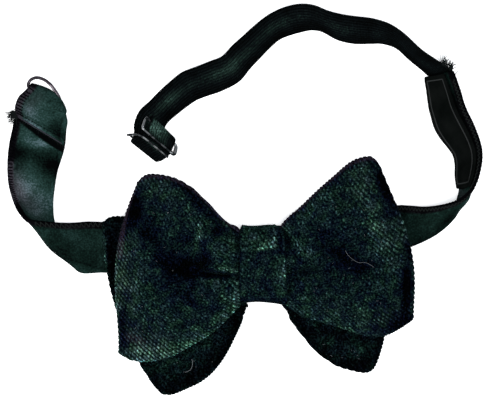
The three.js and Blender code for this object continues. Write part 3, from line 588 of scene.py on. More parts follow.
def wing(rows, powers, lift, folds, u, v, creases, flares):
    """Points of one wing for u out from the knot and v from the low end to the high end."""
    places = (run_along(rows[:, 0:2]) + run_along(rows[:, 2:4])) / 2
    row = along_table(rows, places, u * places[-1])
    lx, ly, hx, hy, bow, lz, mz, hz = (row[:, [i]] for i in range(8))
    p, q = powers
    share = v ** p * (1 - v) ** q / ((p / (p + q)) ** p * (q / (p + q)) ** q)
    x = lx + (hx - lx) * v + np.sign(rows[0, 0]) * bow * share
    y = ly + (hy - ly) * v
    x = x - np.sign(x) * flare(x, y, *flares)
    arch = 1 - np.abs(2 * v - 1) ** 2.6
    fade = np.minimum(np.minimum(1, 5 * v), np.minimum(5 * (1 - v), 6 * (1 - u[:, None])))
    folded = fold_height(folds, x, y) * fade
    z = lift + lz + (hz - lz) * v + (mz - (lz + hz) / 2) * arch + pleat_height(x, y) + folded
    z = z + creases(x, y) * fade
    return np.stack([x, y, z], -1), folded

# %% [markdown]
# ## Sharp creases
# Soft hills alone look like modelling clay. Pinched velvet also has a few sharp features: on
# the left the upper part puffs out over the lower one, with a step beside it, and on either
# side a dark crease runs from the knot into the dent. A step is a narrow S-curve of the
# distance to a line, and a crease is a narrow valley along one.

# %% Creases
def side_of(x, y, start, end):
    """Signed distance to the straight line through two points, above zero on its left hand."""
    dx, dy = end[0] - start[0], end[1] - start[1]
    return ((x - start[0]) * -dy + (y - start[1]) * dx) / math.hypot(dx, dy)


def crease(x, y, points, depth, width):
    """A valley along a bent line: depth * exp(-(distance / width)^2), shallower towards its far end."""
    best, reach = np.full(x.shape, 1e9), np.zeros(x.shape)
    lengths = [math.dist(a, b) for a, b in zip(points, points[1:])]
    done = 0.0
    for (ax, ay), (bx, by), length in zip(points, points[1:], lengths):
        t = np.clip(((x - ax) * (bx - ax) + (y - ay) * (by - ay)) / length ** 2, 0, 1)
        d = np.hypot(x - ax - t * (bx - ax), y - ay - t * (by - ay))
        reach = np.where(d < best, (done + t * length) / sum(lengths), reach)
        best = np.minimum(best, d)
        done += length
    return -depth * (1 - reach ** 2) * bell(best, width * (1 + reach))


def front_creases(x, y):
    """The puff beside the knot on the left, and the creases that leave the knot on both sides."""
    left = smoothstep(side_of(x, y, (-22.5, 0.6), (-25.0, 22.0)) * -1, -0.7, 0.9)
    under = smoothstep(side_of(x, y, (-23.5, -0.6), (-9.5, -3.0)), -0.3, 0.7)
    fade = smoothstep(-x, 8.8, 11.5) * (1 - smoothstep(y, 12, 22))
    puff = 1.15 * left * under * fade
    west = crease(x, y, [(-9, -3.1), (-17, -3.1), (-21.5, -2.0), (-25, -3.5)], 1.5, 0.75)
    east = crease(x, y, [(8.7, -2.7), (16, -1.6), (26, 1.2)], 1.7, 0.8)
    rays = 0.22 * np.sin(2.2 * y + 0.25 * np.abs(x)) * bell(np.abs(x) - 12, 5)
    return puff + west + east + rays


def back_creases(x, y):
    """Faint rays that fan out from under the knot."""
    return 0.25 * np.sin(1.6 * y + 0.5 * np.abs(x)) * bell(np.abs(x) - 12, 6)

# %% [markdown]
# ## One length of cloth for both wings
# Both wings run through the knot, so they share one grid.

# %% Both wings
RIM_STEPS = [0, 0.001, 0.003, 0.006, 0.010, 0.016, 0.024]
FINE = 1.0


def bow(left, right, powers, lift, folds, creases, flares, u_count, v_count):
    """Both wings in one grid, from the left rim through the knot to the right rim."""
    u = steps_with_fine_ends(int(u_count * FINE), RIM_STEPS)
    u = u[u >= 0.5] * 2 - 1
    v = steps_with_fine_ends(int(v_count * FINE), RIM_STEPS)
    west, west_folds = wing(left, powers[0], lift, folds, u, v, creases, flares[0])
    east, east_folds = wing(right, powers[1], lift, folds, u, v, creases, flares[1])
    return np.concatenate([west[::-1], east]), np.concatenate([west_folds[::-1], east_folds])

# %% [markdown]
# ## Toothed rims
# Where the velvet folds over at a rim, every rib stands out as a tiny tooth. Only the rims
# get it as real shape, because further in the bump of the material does the same for less.
# The teeth follow the same slanted wave as the material, so both line up.

# %% Toothed rims
TOOTH, LOWEST = 0.45, 0.02


def rib_wave(points):
    """The wave of the pile group at points in metres of the frame, from 0 to 1."""
    x, y, z = points.T / MM
    across = x * math.sin(RIB_SLANT) + y * math.cos(RIB_SLANT) + 0.6 * z
    return 0.5 + 0.5 * np.sin(2 * np.pi * across / RIB_PITCH)


def tooth_rims(piece, border):
    """Push points out along their normals by tooth * wave, fading out 2 mm in from the border."""
    mesh = piece.data
    co, normal = np.empty((2, 3 * len(mesh.vertices)), np.float32)
    mesh.vertices.foreach_get("co", co)
    mesh.vertices.foreach_get("normal", normal)
    co, normal = co.reshape(-1, 3), normal.reshape(-1, 3)
    co = co + normal * ((rib_wave(co) - 0.45) * TOOTH * MM * bell(border, 1.1))[:, None]
    co[:, 2] = np.maximum(co[:, 2], LOWEST * MM)
    mesh.vertices.foreach_set("co", co.astype(np.float32).ravel())
    mesh.update()

# %% [markdown]
# ## Painted light and shade on the velvet
# The light and dark patches of the velvet are soft hills again, this time of a number over the
# plan of the bow that paints light and shade into the colour. Where the cloth bends open, and
# along a few stretches of the rims, other short tables add to `bent` and to the painted light
# of the rim.

# %% Nap tables
# Painted light and shade as soft hills on the front bow and, below, on the back bow.
FRONT_LIGHT_SPOTS = table(FOLD_COLUMNS, """
-49 22 9 3 70 -0.45
-53.6 -25 12 2.4 88 -0.45
-42 -31.5 12 4 8 0.3
-49 -6 16 4.5 85 0.12
-40.5 8 15 4.2 -58 -0.34
-28 -1.6 6 2.6 0 -0.38
-17 -3.2 9 1.1 0 -0.32
-25 0.6 4.5 1.8 0 -0.34
-13 -1.5 4.5 0.9 -8 0.42
-28 -12 9 5 -28 -0.22
-40 -20 10 6 -50 0.1
-43.5 30.5 3 2.5 0 0.2
-27 28.5 8 2.5 -40 -0.3
-21 20 9 1.5 -45 -0.2
-12 9 5 2.6 -60 0.14
-22 3 2.8 2.4 0 -0.28
-23.8 14 6 1.1 78 0.44
-16.5 13.4 4 1.8 -10 -0.26
-18.5 12.5 5 1.8 60 -0.24
-21 17 3 0.7 55 0.2
-11.5 -14.5 6 2.5 62 0.24
-10.4 -9 5 0.9 90 0.26
-16.5 -5.6 7 0.8 -3 0.32
13.8 8 5.5 1.3 -52 0.28
17.5 4.6 4.5 1.6 -35 0.14
9 10 3.5 1.3 -70 -0.28
12 4 4 1 -50 -0.22
8.8 -1 3 1.6 85 0.22
24.5 8.5 8 4.5 -40 -0.33
36 0.5 6.5 3.4 -30 -0.34
24 -10 10 5 -5 -0.06
32 -18.5 14 2.5 -15 0.05
45.5 9.5 15 5 -65 0.27
38 30 7 4.5 90 0.18
55 -7.5 11 1.9 88 -0.8
51 -22.5 9 2.6 24 -0.38
47 30 9 2.4 -68 -0.55
22 25 12 1.6 47 0.08
""")
BACK_LIGHT_SPOTS = table(FOLD_COLUMNS, """
-36 -38 9 4 30 0.36
-22 -30 7 3 50 0.24
35 -32.5 7 3 -5 0.36
24 -27 6 2.5 -40 0.2
-57 5 12 3 85 -0.22
""")
# Painted rim highlights.
RIM_LIGHTS = table(FOLD_COLUMNS, """
54.8 14.8 7 3 -67 1.3
-61 7.5 9 3 84 1.1
""")
BENT = table(FOLD_COLUMNS, """
-53 -6 20 5 88 0.75
-46 -28.5 11 6 -10 0.8
-40 26 9 5 -30 0.3
48 -20 10 5 20 0.7
48 10 13 5 -65 0.38
37 30 8 6 60 0.45
30 -17 10 4 -15 0.3
""")
print("nap hills:", len(FRONT_LIGHT_SPOTS), "on the front bow,", len(BACK_LIGHT_SPOTS), "on the back one")

# %% [markdown]
# ## Both bows
# The front bow is the lighter one. The back bow hangs out below it in its shade, so it is
# made the same way from its own tables and wears the same velvet made darker: painted shade.

# %% Both bows
VELVET_WALL = 2.6


def make_bow(name, node, grid, folds, material, slot, nap_spots, start, rim):
    """The closed velvet of one bow with its painted light and shade, its teeth and its cut size."""
    points, faces, source = shell(grid, VELVET_WALL)
    along, across = to_border(grid)
    border = np.minimum(along, across).ravel()[source]
    depth = folds.ravel()[source]
    x, y, _ = points.T
    upper, west = smoothstep(y, -2, 10), x < 0
    # Painted rim light on the front bow and painted rim shade on the back one, weaker on the upper rims.
    painted_rim_light = rim * (1 - 0.8 * upper) * bell(border, 4.5) * np.where(west, 1.1, 0.5)
    # Painted light and shade: a base level, lighter on fold tops, darker in dents, and the painted spots.
    nap = start + 0.05 * np.clip(depth, -3.5, 2) + painted_rim_light + soft_hills(nap_spots, x, y)
    # Painted light on the left and lower rims, which face the window, painted shade on the upper rims.
    lights = soft_hills(RIM_LIGHTS, x, y)
    edge_light = np.where(west, 0.30, -0.05) - 0.62 * upper + lights
    nap = np.clip(nap + edge_light * bell(border, 0.9 + 0.6 * upper), 0, 1.15)
    bent = soft_hills(BENT, x, y) + 1.1 * upper * bell(border, 3.0)
    # The bend is weaker under the painted rim highlights.
    bent = bent * (1 - np.clip(lights, 0, 1) * bell(border, 2.0))
    bent = np.clip(0.12 + bent, 0, 1) if slot == "velvet" else 0 * nap
    piece = new_piece(name, points, faces, material, slot, nap=nap, bent=bent)
    tooth_rims(piece, border)
    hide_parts(node)


front_grid, front_folds = bow(FRONT_LEFT, FRONT_RIGHT, [(1.7, 1.25), (1.4, 1.6)], FRONT_LIFT,
                              FRONT_FOLDS, front_creases, [(0.6, 0.0), (0.6, 2.2)], 236, 176)
make_bow("front_bow_velvet", "front_bow", front_grid, front_folds, VELVET, "velvet",
         FRONT_LIGHT_SPOTS, 0.46, 0.20)
back_grid, back_folds = bow(BACK_LEFT, BACK_RIGHT, [(0.8, 1.0), (0.8, 1.0)], BACK_LIFT,
                            BACK_FOLDS, back_creases, [(2.6, 0.0), (2.4, 0.0)], 220, 140)
# The back bow starts darker and gets painted shade at its rims: painted shade under the front bow.
make_bow("back_bow_velvet", "back_bow", back_grid, back_folds, SHADE_PAINTED_VELVET, "dark_velvet",
         BACK_LIGHT_SPOTS, 0.18, -0.15)

# %% [markdown]
# ## The knot
# The knot is a short sleeve of velvet round the pinched middle. Its cross-section is a
# superellipse, |y/a|^p + |z/b|^p = 1, which is a box with soft corners: p = 3.4 on top and
# a flatter 6 below, where it lies on the table. The sleeve is turned in at both mouths, and its
# top has the fold of the wrapped cloth: a ridge across and another down its right side.

# %% Knot surface
def sleeve(share, angle, inset):
    """Point of the sleeve: share along X, angle round it, inset in from the outside."""
    c, s = np.cos(angle), np.sin(angle)
    low = s < 0
    power = np.where(low, 6, 3.4)
    width = KNOT["half_width"] - inset - 0.5 * (1 - share ** 2)
    middle = KNOT["height"] / 2
    y = KNOT["middle_y"] + np.sign(c) * width * np.abs(c) ** (2 / power)
    reach = share * KNOT["half_length"]
    y = y + smoothstep(y, 4, 14) * (0.7 + 0.55 * bell(reach - 2.3, 4.5))
    y = y - smoothstep(-y, 4, 14) * 0.08 * np.maximum(reach, -2)
    z = np.sign(s) * (middle - inset) * np.abs(s) ** (2 / power)
    end = np.where(share < 0, KNOT["half_length"], KNOT["half_length"] + 0.1 - KNOT["skew"] * c)
    x = share * (end - 0.5 * np.abs(c) ** 8)
    sag = np.where(low, 0, -0.35 * (1 - share ** 2))
    return np.stack([x, y, np.maximum(middle + z + sag, inset)], -1)


def even_angles(count):
    """Angles whose points on the cross-section are the same distance apart."""
    dense = np.linspace(0, 2 * np.pi, 6001)
    run = run_along(sleeve(np.full(dense.shape, 0.2), dense, 0))
    return np.interp(np.linspace(0, run[-1], count, endpoint=False), run, dense)

# %% [markdown]
# ## The knot's wall and its light
# The wall is one closed loop carried round the sleeve, so the knot stays hollow for the bows
# and the band. The ridge and the puckers are heights along its normals. Its painted light and
# shade is a table of soft hills like that of the bows: a painted highlight along the fold and
# the ridge on top, and painted shade inside the sleeve and at its lower end.

# %% Knot
KNOT_LIGHT_SPOTS = table(FOLD_COLUMNS, """
4.6 10.2 4 0.7 90 0.5
0.6 7.2 5.4 0.7 10 0.4
2.8 8.9 2.3 1.6 25 0.38
-1 10.5 6 2.4 0 0.15
7 9.6 5 1.2 90 -0.38
8.1 -1.8 3.2 1.6 88 0.34
1 5.5 6 1 6 -0.2
-7.6 -8 4 1.2 90 0.14
-3 -1 4 3 0 -0.06
""")


def make_knot():
    """The wall runs out along the outside, round a lip, back along the inside and round again."""
    mouth = 0.95
    flat = np.linspace(-mouth, mouth, int(76 * FINE))
    lip = np.linspace(0, np.pi, 9)[1:-1]
    round_lip = mouth + (1 - mouth) * np.sin(lip)
    share = np.concatenate([flat, round_lip, flat[::-1], -round_lip])
    turn = KNOT["wall"] / 2 * (1 - np.cos(lip))
    inset = np.concatenate([0 * flat, turn, 0 * flat + KNOT["wall"], turn[::-1]])
    a, s = np.meshgrid(even_angles(int(230 * FINE)), share, indexing="ij")
    i = np.broadcast_to(inset, a.shape)
    points = sleeve(s, a, i)
    x, y, z = np.moveaxis(points, -1, 0)
    outside, above_sides = i < 0.01, z > 6
    outer = outside & above_sides
    top = smoothstep(y, 6.3, 7.4) * smoothstep(5.2 - x, 0, 1.2)
    ridge = bell(y - 7.1 - 0.11 * x, 0.6) * smoothstep(x, -6.5, -3) * (1 - smoothstep(x, 4, 5.6))
    spine = bell(x - 4.7, 0.6) * smoothstep(y, 5.6, 7.4)
    puckers = 0.16 * np.sin(2.1 * y) * smoothstep(np.abs(x), 5, 8.5)
    relief = np.where(outer, 0.35 * top + 0.38 * ridge + 0.4 * spine + puckers - 0.12, 0)
    normal = grid_normals(points)
    outward = np.sign(np.sum(normal * (points - points.mean((0, 1))), -1).mean())
    points = points + normal * outward * relief[..., None]
    faces = quads(np.arange(a.size).reshape(a.shape), True, True)
    # Painted highlight along the fold and the ridge on top of the knot, painted shade beside them.
    knot_lighting = soft_hills(KNOT_LIGHT_SPOTS, x, y)
    # Painted light on the knot's top, painted shade inside the sleeve and on its low sides.
    nap = np.where(outer, 0.42 + 0.10 * top + knot_lighting, 0.2)
    # Here the bend number follows the painted highlight, which evens the highlight's grain.
    bent = 0.1 + 0.7 * np.where(outer, np.clip(knot_lighting, 0, 0.8), 0)
    # Painted light at the right mouth; painted shade at the left mouth, the lower end and the top edge.
    rim = smoothstep(s, 0.75, 0.95) * 0.08 - smoothstep(-s, 0.8, 1.0) * 0.1
    rim -= smoothstep(-y, 11.5, 14.0) * 0.3 + smoothstep(y, 14.0, 15.5) * 0.1
    piece = new_piece("knot_velvet", points.reshape(-1, 3), faces, VELVET, "velvet",
                      nap=np.clip(nap + rim, 0, 1.6), bent=bent)
    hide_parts("knot")


make_knot()

# %% [markdown]
# ## Straps as ruled ribbons
# A band can bend and twist, but it hardly stretches, so every line straight across it stays
# straight. The table gives the two ends of such lines: a on the stitched edge, b on the
# folded one. A ribbed elastic also bulges between its edges, which is its camber, and the
# band's end bulges round the bar of the eye, which is its push.

# %% Ribbon helpers
LINE_COLUMNS = "ax ay az bx by bz camber push"
EYE = dict(x=-83.5, y=63.5, turn=math.radians(-38.4), lift=2.0, half_width=8.2, bulge=2.2)


def line_places(rows):
    """Distance from line to line: the mean of what the two ends move."""
    return (run_along(rows[:, 0:3]) + run_along(rows[:, 3:6])) / 2


def across_lines(row, w):
    """Points at share w across the lines: a(1-w) + bw, plus 4w(1-w) of the camber upward."""
    points = row[..., 0:3] + (row[..., 3:6] - row[..., 0:3]) * w[..., None]
    points[..., 2] += row[..., 6] * (4 * w * (1 - w))
    return points


def ribbon(rows, s, w):
    """A grid at distances s and shares w, with 4w(1-w) of the push, which leans to the b edge."""
    row = along_table(rows, line_places(rows), s)[:, None]
    out = np.array([-math.sin(EYE["turn"]), math.cos(EYE["turn"]), 0])
    return across_lines(row, w[None]) + (row[..., 7] * (4 * w * (1 - w)) * (1 + 0.5 * w))[..., None] * out


def stations(rows, step):
    """Even steps between the table's rows, at least six to a row so that tight turns stay round."""
    places = line_places(rows)
    parts = [np.linspace(p, q, max(6, math.ceil((q - p) / step)), endpoint=False)
             for p, q in zip(places, places[1:])]
    return np.concatenate(parts + [places[-1:]])


def cloth_uv(grid, source):
    """Metres run along the middle line, and metres run across each line from its a end."""
    run = run_along(grid[:, grid.shape[1] // 2])
    across = run_across(grid)
    both = np.stack([np.broadcast_to(run[:, None], across.shape), across], -1).reshape(-1, 2)
    return both[source] * MM

# %% [markdown]
# ## Threads and wires as tubes
# Stitches, loose yarns, hairs and wire are all round things along a path. One helper makes
# many of them at once, as a ring of points carried along each path.

# %% Tubes
def tubes(paths, radius, sides, closed=False):
    """Round threads or wires along many paths at once, an array of (path, point, xyz). Each ring
    is path + radius * (side cos t + rise sin t); the ends are closed by strips of quads."""
    paths = np.asarray(paths, float)
    many, count = paths.shape[:2]
    round_trip = np.roll(paths, -1, 1) - np.roll(paths, 1, 1)
    along = unit(round_trip if closed else np.gradient(paths, axis=1))
    side = unit(np.cross(along, (0.03, 0.02, 1.0)))
    rise = np.cross(side, along)
    t = np.linspace(0, 2 * np.pi, sides, endpoint=False)[:, None]
    size = np.broadcast_to(np.asarray(radius, float), (many, count))[:, :, None, None]
    ring = side[:, :, None] * np.cos(t) + rise[:, :, None] * np.sin(t)
    points = (paths[:, :, None] + ring * size).reshape(-1, 3)
    one = quads(np.arange(count * sides).reshape(-1, sides), closed, True)
    if not closed:
        k = np.arange(sides // 2 - 1)
        cap = np.stack([k, k + 1, sides - 2 - k, sides - 1 - k], -1)
        one = np.concatenate([one, cap, cap[:, ::-1] + (count - 1) * sides])
    start = np.arange(many)[:, None, None] * count * sides
    return points, (one[None] + start).reshape(-1, 4)


def smooth_path(points, count, closed=False):
    """A smooth path through given points, the same cubics as along a table."""
    points = np.asarray(points, float)
    if closed:
        points = np.concatenate([points[-3:], points, points[:3]])
    places = run_along(points)
    if closed:
        return along_table(points, places, np.linspace(places[3], places[-3], count, endpoint=False))
    return along_table(points, places, np.linspace(0, places[-1], count))

# %% [markdown]
# ## Satin and thread
# Satin is woven so that long floating threads lie side by side, and they mirror the light
# like brushed metal: bright where the band tilts to the window, near black where it tilts
# away. The shader has no gloss, so that light and dark is painted into the colour by the
# band's tone. The group gives a fine weave and slow creases. The edge with the seam is matt,
# because there the satin is turned under and overlocked.

# %% Thread group
def thread_group():
    """Two fine sine waves at right angles make a weave; slow noise makes creases."""
    tree, given = new_group("fine_threads", Pitch=0.0005, Cross=0.0005)
    uv = add(tree, "ShaderNodeUVMap", uv_map="cloth").outputs[0]
    place = object_place(tree)
    split = add(tree, "ShaderNodeSeparateXYZ", {0: uv}).outputs
    first = calc("SINE", ratio(times(split[1], FULL_TURN), given["Pitch"]))
    second = calc("SINE", ratio(times(split[0], FULL_TURN), given["Cross"]))
    weave = plus(times_plus(times(second, 0.4), 0.5, 0.5), times(first, 0.3))
    return close_group(tree, Weave=weave, Crease=noise(place, 130.0, 3.0), Across=split[1],
                       Grain=remap(noise(place, 1600.0, 1.0), 0.3, 0.7))


THREADS = thread_group()


def satin():
    """Green satin, coloured by its tone and nearly black in the seam strip along the a edge."""
    material, tree, shader = new_material("green_satin", Specular_IOR_Level=0.0)
    threads = use_group(tree, THREADS, Pitch=0.0004, Cross=0.0007)
    # The tone is painted light and shade: the reflections of the satin's floats.
    tone = wander(painted(tree, "tone"), (threads["Grain"], 0.24), (threads["Crease"], 0.6))
    hue = ramp(tone, (0.00, 0.0008, 0.0011, 0.0012), (0.25, 0.0036, 0.0100, 0.0080),
               (0.50, 0.0125, 0.0310, 0.0275), (0.75, 0.0600, 0.0960, 0.1080), (1.00, 0.1300, 0.1650, 0.2000))
    plum = ramp(tone, (0.00, 0.0010, 0.0010, 0.0013), (0.25, 0.0060, 0.0050, 0.0070),
                (0.60, 0.0380, 0.0350, 0.0430), (1.00, 0.1500, 0.1350, 0.1650))
    seam = remap(threads["Across"], 0.0022, 0.0032, 1.0, 0.0)
    tinted = calc("MAXIMUM", seam, times(painted(tree, "mauve"), 0.9))
    tree.links.new(remap(seam, 0, 1, 0.42, 0.75), shader.inputs["Roughness"])
    height = plus(times(threads["Weave"], 0.12), threads["Crease"])
    dress(shader, blend_colour(tinted, hue, plum), height, 0.4, 0.0006)
    return material


def thread_material(name, colour, gloss):
    """Twisted sewing thread: fine stripes by place, so that it doesn't read as plastic."""
    material, tree, shader = new_material(name, Roughness=gloss, Specular_IOR_Level=0.0)
    inputs = {"Vector": object_place(tree), "Scale": 1500.0, "Distortion": 2.0}
    wave = add(tree, "ShaderNodeTexWave", inputs).outputs["Fac"]
    dark = tuple(0.5 * c for c in colour)
    tone = blend_colour(wave, (*dark, 1), (*colour, 1))
    tree.links.new(tone, shader.inputs["Base Color"])
    return material


SATIN = satin()
SEAM_THREAD = thread_material("seam_thread", (0.0015, 0.0015, 0.0020), 0.7)
FRAY_THREAD = thread_material("frayed_thread", (0.008, 0.010, 0.010), 0.7)
print("thread group:", len(THREADS.nodes), "nodes, used by", SATIN.name)

# %% [markdown]
# ## The neck band
# The band starts at its raw end, runs over the wire eye and back under itself, rolls over at
# the corner so that its other face shows, passes flat under the bow and through the knot, and
# then twists until it stands on its folded edge. All of that is one table of lines.

# %% Band tables
def beside_bar(bar, along, out, up):
    """Along a bar, outward from it and up, turned and moved to x, y and z round the knot."""
    c, s = math.cos(bar["turn"]), math.sin(bar["turn"])
    return np.stack([bar["x"] + along * c - out * s, bar["y"] + along * s + out * c, up + 0 * along], -1)


def from_bar(bar, x, y):
    """The way back: how far along a bar and how far outward from it a place lies."""
    c, s = math.cos(bar["turn"]), math.sin(bar["turn"])
    return (x - bar["x"]) * c + (y - bar["y"]) * s, (y - bar["y"]) * c - (x - bar["x"]) * s


TURN = np.radians([80, 45, 0, -45, -80])
turn_out = 1.4 * np.cos(TURN)
turn_up = EYE["lift"] + 1.4 * np.sin(TURN)
turn_wide = np.array([10.1, 9.5, 9.0, 8.8, 8.6])
FOLD_TURN = np.column_stack([
    beside_bar(EYE, np.full(5, -EYE["half_width"]), turn_out, turn_up),
    beside_bar(EYE, turn_wide, turn_out, turn_up),
    np.zeros(5), EYE["bulge"] * np.cos(TURN),
])
FOLD_BACK = table(LINE_COLUMNS, """
-94.2 57.1 2.9 -76.4 46.1 2.9 0 0
-95.1 60.7 2.5 -75.5 51.1 2.5 0 0
-93.7 64.8 2.6 -74.8 55 2.6 0 0
-90.8 67.5 3.5 -75.3 57.9 3.5 0 0
""")
LEFT_SIDE = table(LINE_COLUMNS, """
-91 67.3 0.6 -77.4 56.8 0.6 0 0
-94.1 63.5 0.6 -75.5 54.3 0.6 0 0
-95.3 58.5 0.6 -75.5 50.8 0.6 0 0
-96.2 53.1 0.6 -75.8 47.1 0.6 0 0
-97.2 48.5 0.8 -76.4 43.9 0.8 0 0
-97.8 43.9 1.6 -77.4 40.4 1.9 0 0
-98 38.1 2.8 -78.6 36.1 3.4 0 0
-97.8 32.7 2.2 -79.7 30 2.4 0 0
-97.1 28.9 2.2 -80.4 23.9 0.8 0 0
-95.3 24.3 4.8 -79.8 16.9 0.6 0 0
-93.3 21.2 8.2 -76.8 9.3 0.6 0 0
-91.1 19.2 10.9 -73.7 2.3 0.7 0 0
-88.4 17.8 12.2 -70.9 -1.7 1.4 0 0
-84.3 17.4 11.2 -68.7 -2.8 2.7 0 0
-78.8 17 8.2 -66.4 -3 2.9 0 0
-72.6 16.7 4.6 -63.6 -2.8 1.6 0 0
-65.9 17 1.8 -60.2 -2.8 0.8 0 0
""")
UNDER_BOW = table(LINE_COLUMNS, """
-51 16 0.6 -51 -3.2 0.6 0 0
-35 13.2 0.6 -35 -5.6 0.6 0 0
-22 11.2 0.8 -22 -7.4 0.8 0 0
-14 10 2 -14 -7.9 2 0 0
-8.5 8.9 3 -8.5 -8.3 3 0 0
0 8.9 3 0 -8.3 3 0 0
8.5 9.2 3 8.5 -8 3 0 0
14 11.6 2 14 -7 2 0 0
22 14.2 0.8 22 -5.2 0.8 0 0
35 18.2 0.6 35 -1 0.6 0 0
""")
RIGHT_TWIST = table(LINE_COLUMNS, """
51.3 23.1 1.6 50.6 4.8 0.6 0 0
56.5 23.1 4.4 56 6.7 0.6 0 0
61.6 22.7 8 61.7 9.1 0.6 0 0
66.3 23.1 11.5 66.7 11.9 0.6 0 0
70.2 23.9 14.5 71.4 15.8 0.6 0 0
73.8 25.4 17 74.8 20.2 0.6 0 0
76.7 27.3 18 76.6 25 0.6 0 0
79.4 29.9 17.6 76 29.6 0.6 0 0
81.5 34.1 16.5 75.2 34.3 0.6 0 0
82.8 39.4 15.5 75 39.3 0.6 0 0
83 43.6 15 73.9 43.3 0.6 0 0
82.4 47.4 14 71.4 46.6 0.6 0 0
81.1 51.6 12.8 68.7 49.6 0.6 0 0
79.5 55.4 12.5 66.6 52.9 0.6 0 0
77.6 59.2 12.5 65.4 57 0.6 0 0
76.2 62.6 13.3 64.6 60.4 0.6 0 0
75.2 66 13.8 64.1 64.3 0.6 0 0
74 69.4 14 63.7 68.1 0.6 0 0
73.1 72 14 63.3 70.6 0.6 0 0
72.1 74.3 14 63.3 72.5 0.6 0 0
""")
BAND = np.concatenate([FOLD_BACK, FOLD_TURN, LEFT_SIDE, UNDER_BOW, RIGHT_TWIST])
BAND_LENGTH = line_places(BAND)[-1]
print("neck band", round(BAND_LENGTH), "mm long,", len(BAND), "lines")

# %% [markdown]
# ## How the satin takes the light
# Seen from above, each stretch of the band tilts its floating threads another way, so the
# same cloth runs from near black to a pale blue green. That light and shade is painted into
# the colour as soft spots on the flat band, in mm of run from the raw end and mm across from
# the seam edge.

# %% Satin tone
SATIN_LIGHT_SPOTS = table(FOLD_COLUMNS, """
5 6 5 6 0 0.18
9 10 7 12 0 0.14
3.5 17.5 3 2.5 0 -0.22
0.6 10 0.7 14 0 0.22
2.9 10 0.5 12 0 -0.14
37.9 12.5 2.4 7 14 0.44
36.4 6 2 4 7 0.12
42.5 3.5 3 4 0 -0.26
44 10 3.5 7 0 -0.1
46 16.5 4 3.5 0 -0.26
56 4.5 9 5 0 0.13
60 10 9 10 0 0.28
92 11 26 12 0 -0.1
97 9 9 4 0 0.06
78 17 8 5 0 -0.08
230 11 30 12 0 -0.17
222 9 5 3.5 0 0.1
248 6 4 5 0 0.2
279 4 22 4 0 -0.26
248 14.5 5 5 0 0.3
""")
MAUVE_SPOTS = table(FOLD_COLUMNS, """
57 3 9 3.5 0 0.8
63 8 7 5 0 0.4
8 5 6 3 0 0.35
248 15 6 5 0 0.75
""")
BAND_WIDTH, SEAM_WIDTH, TAB_END, TAB_SLANT = 19.0, 2.2, 29.8, 5.6


def satin_tone(run, across):
    """Mid green with the painted light and shade of the spots; dark in the seam strip, with painted shade
    along the fold and the other edge, and a painted shadow under the tab.
    """
    tone = 0.29 + soft_hills(SATIN_LIGHT_SPOTS, run, across)
    # A painted shadow on the band under the raised end of the tab.
    past_tab = run - TAB_END - TAB_SLANT * across / BAND_WIDTH
    shade = smoothstep(past_tab, -6, -5)
    shade = shade * (1 - smoothstep(past_tab - 1.8 * across / BAND_WIDTH, 1.0, 1.9))
    tone = tone * (1 - shade) - 0.3 * shade
    strip = 1 - smoothstep(across, SEAM_WIDTH, SEAM_WIDTH + 1)
    kept = 0.08 + 0.85 * smoothstep(run, 42, 50) * (1 - smoothstep(run, 62, 72))
    kept = np.maximum(kept, 1 - smoothstep(run, 10, 16))
    tone = np.where(strip * kept > 0.5, np.maximum(tone, 0.38), tone * (1 - strip * (1 - kept)))
    # Painted shade along both edges of the band.
    edge = np.minimum(across, BAND_WIDTH - across)
    return np.clip(tone - 0.15 * bell(edge, 0.5), -0.3, 1)

# %% [markdown]
# ## The band as cloth
# Where the band stands on edge and turns a corner, a ruled line is too stiff: real satin sags
# out there. A short table says where and how much. Then the grid gets its thickness, its UV
# in real metres for the weave, and its tone.

# %% Band
BAND_WALL = 1.1
CORNERS = table("x y reach height east north foot_reach foot", """
76.5 25.1 3.4 18 2.1 -0.4 2.3 -2.3
-80.5 7 6 12.2 -1.2 -1.2 1 0
""")


def sag_at_corners(points):
    """On edge at its corners the band sags: at share h of the height its middle goes out by
    4h(1-h) and its foot along X by (1-h) squared, both fading with the distance in plan."""
    moved = points.copy()
    for x, y, reach, height, east, north, foot_reach, foot in CORNERS:
        far = (points[..., 0] - x) ** 2 + (points[..., 1] - y) ** 2
        h = np.clip(points[..., 2] / height, 0, 1)
        out = 4 * h * (1 - h) * np.exp(-far / (2 * reach ** 2))
        moved[..., 0] += out * east + (1 - h) ** 2 * np.exp(-far / (2 * foot_reach ** 2)) * foot
        moved[..., 1] += out * north
    return moved


WIDE = steps_with_fine_ends(int(30 * FINE), [0, 0.0015, 0.005, 0.012, 0.025])
band_s = stations(BAND, 0.7 / FINE)
band_s = np.sort(np.append(band_s, [0.05, 0.2, BAND_LENGTH - 0.2, BAND_LENGTH - 0.05]))
band_grid = sag_at_corners(ribbon(BAND, band_s, WIDE))
band_points, band_faces, band_source = shell(band_grid, BAND_WALL)
band_uv = cloth_uv(band_grid, band_source)
band_run, band_across = band_uv.T / MM
band_mauve = np.clip(soft_hills(MAUVE_SPOTS, band_run, band_across), 0, 1)
band_piece = new_piece("neck_band_satin", band_points, band_faces, SATIN, "satin",
                       uvs={"cloth": band_uv}, tone=satin_tone(band_run, band_across), mauve=band_mauve)
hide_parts("neck_band")

# %% [markdown]
# ## Stitches
# An overlock seam is a thread that zigzags over the raw edge. It is one long tube whose path
# swings between two shares of the band's width, laid a hair above the cloth. Short straight
# stitches hold the turned hem, and a cord lies in it.

# %% Seam stitches
FACE = BAND_WALL / 2 + 0.1


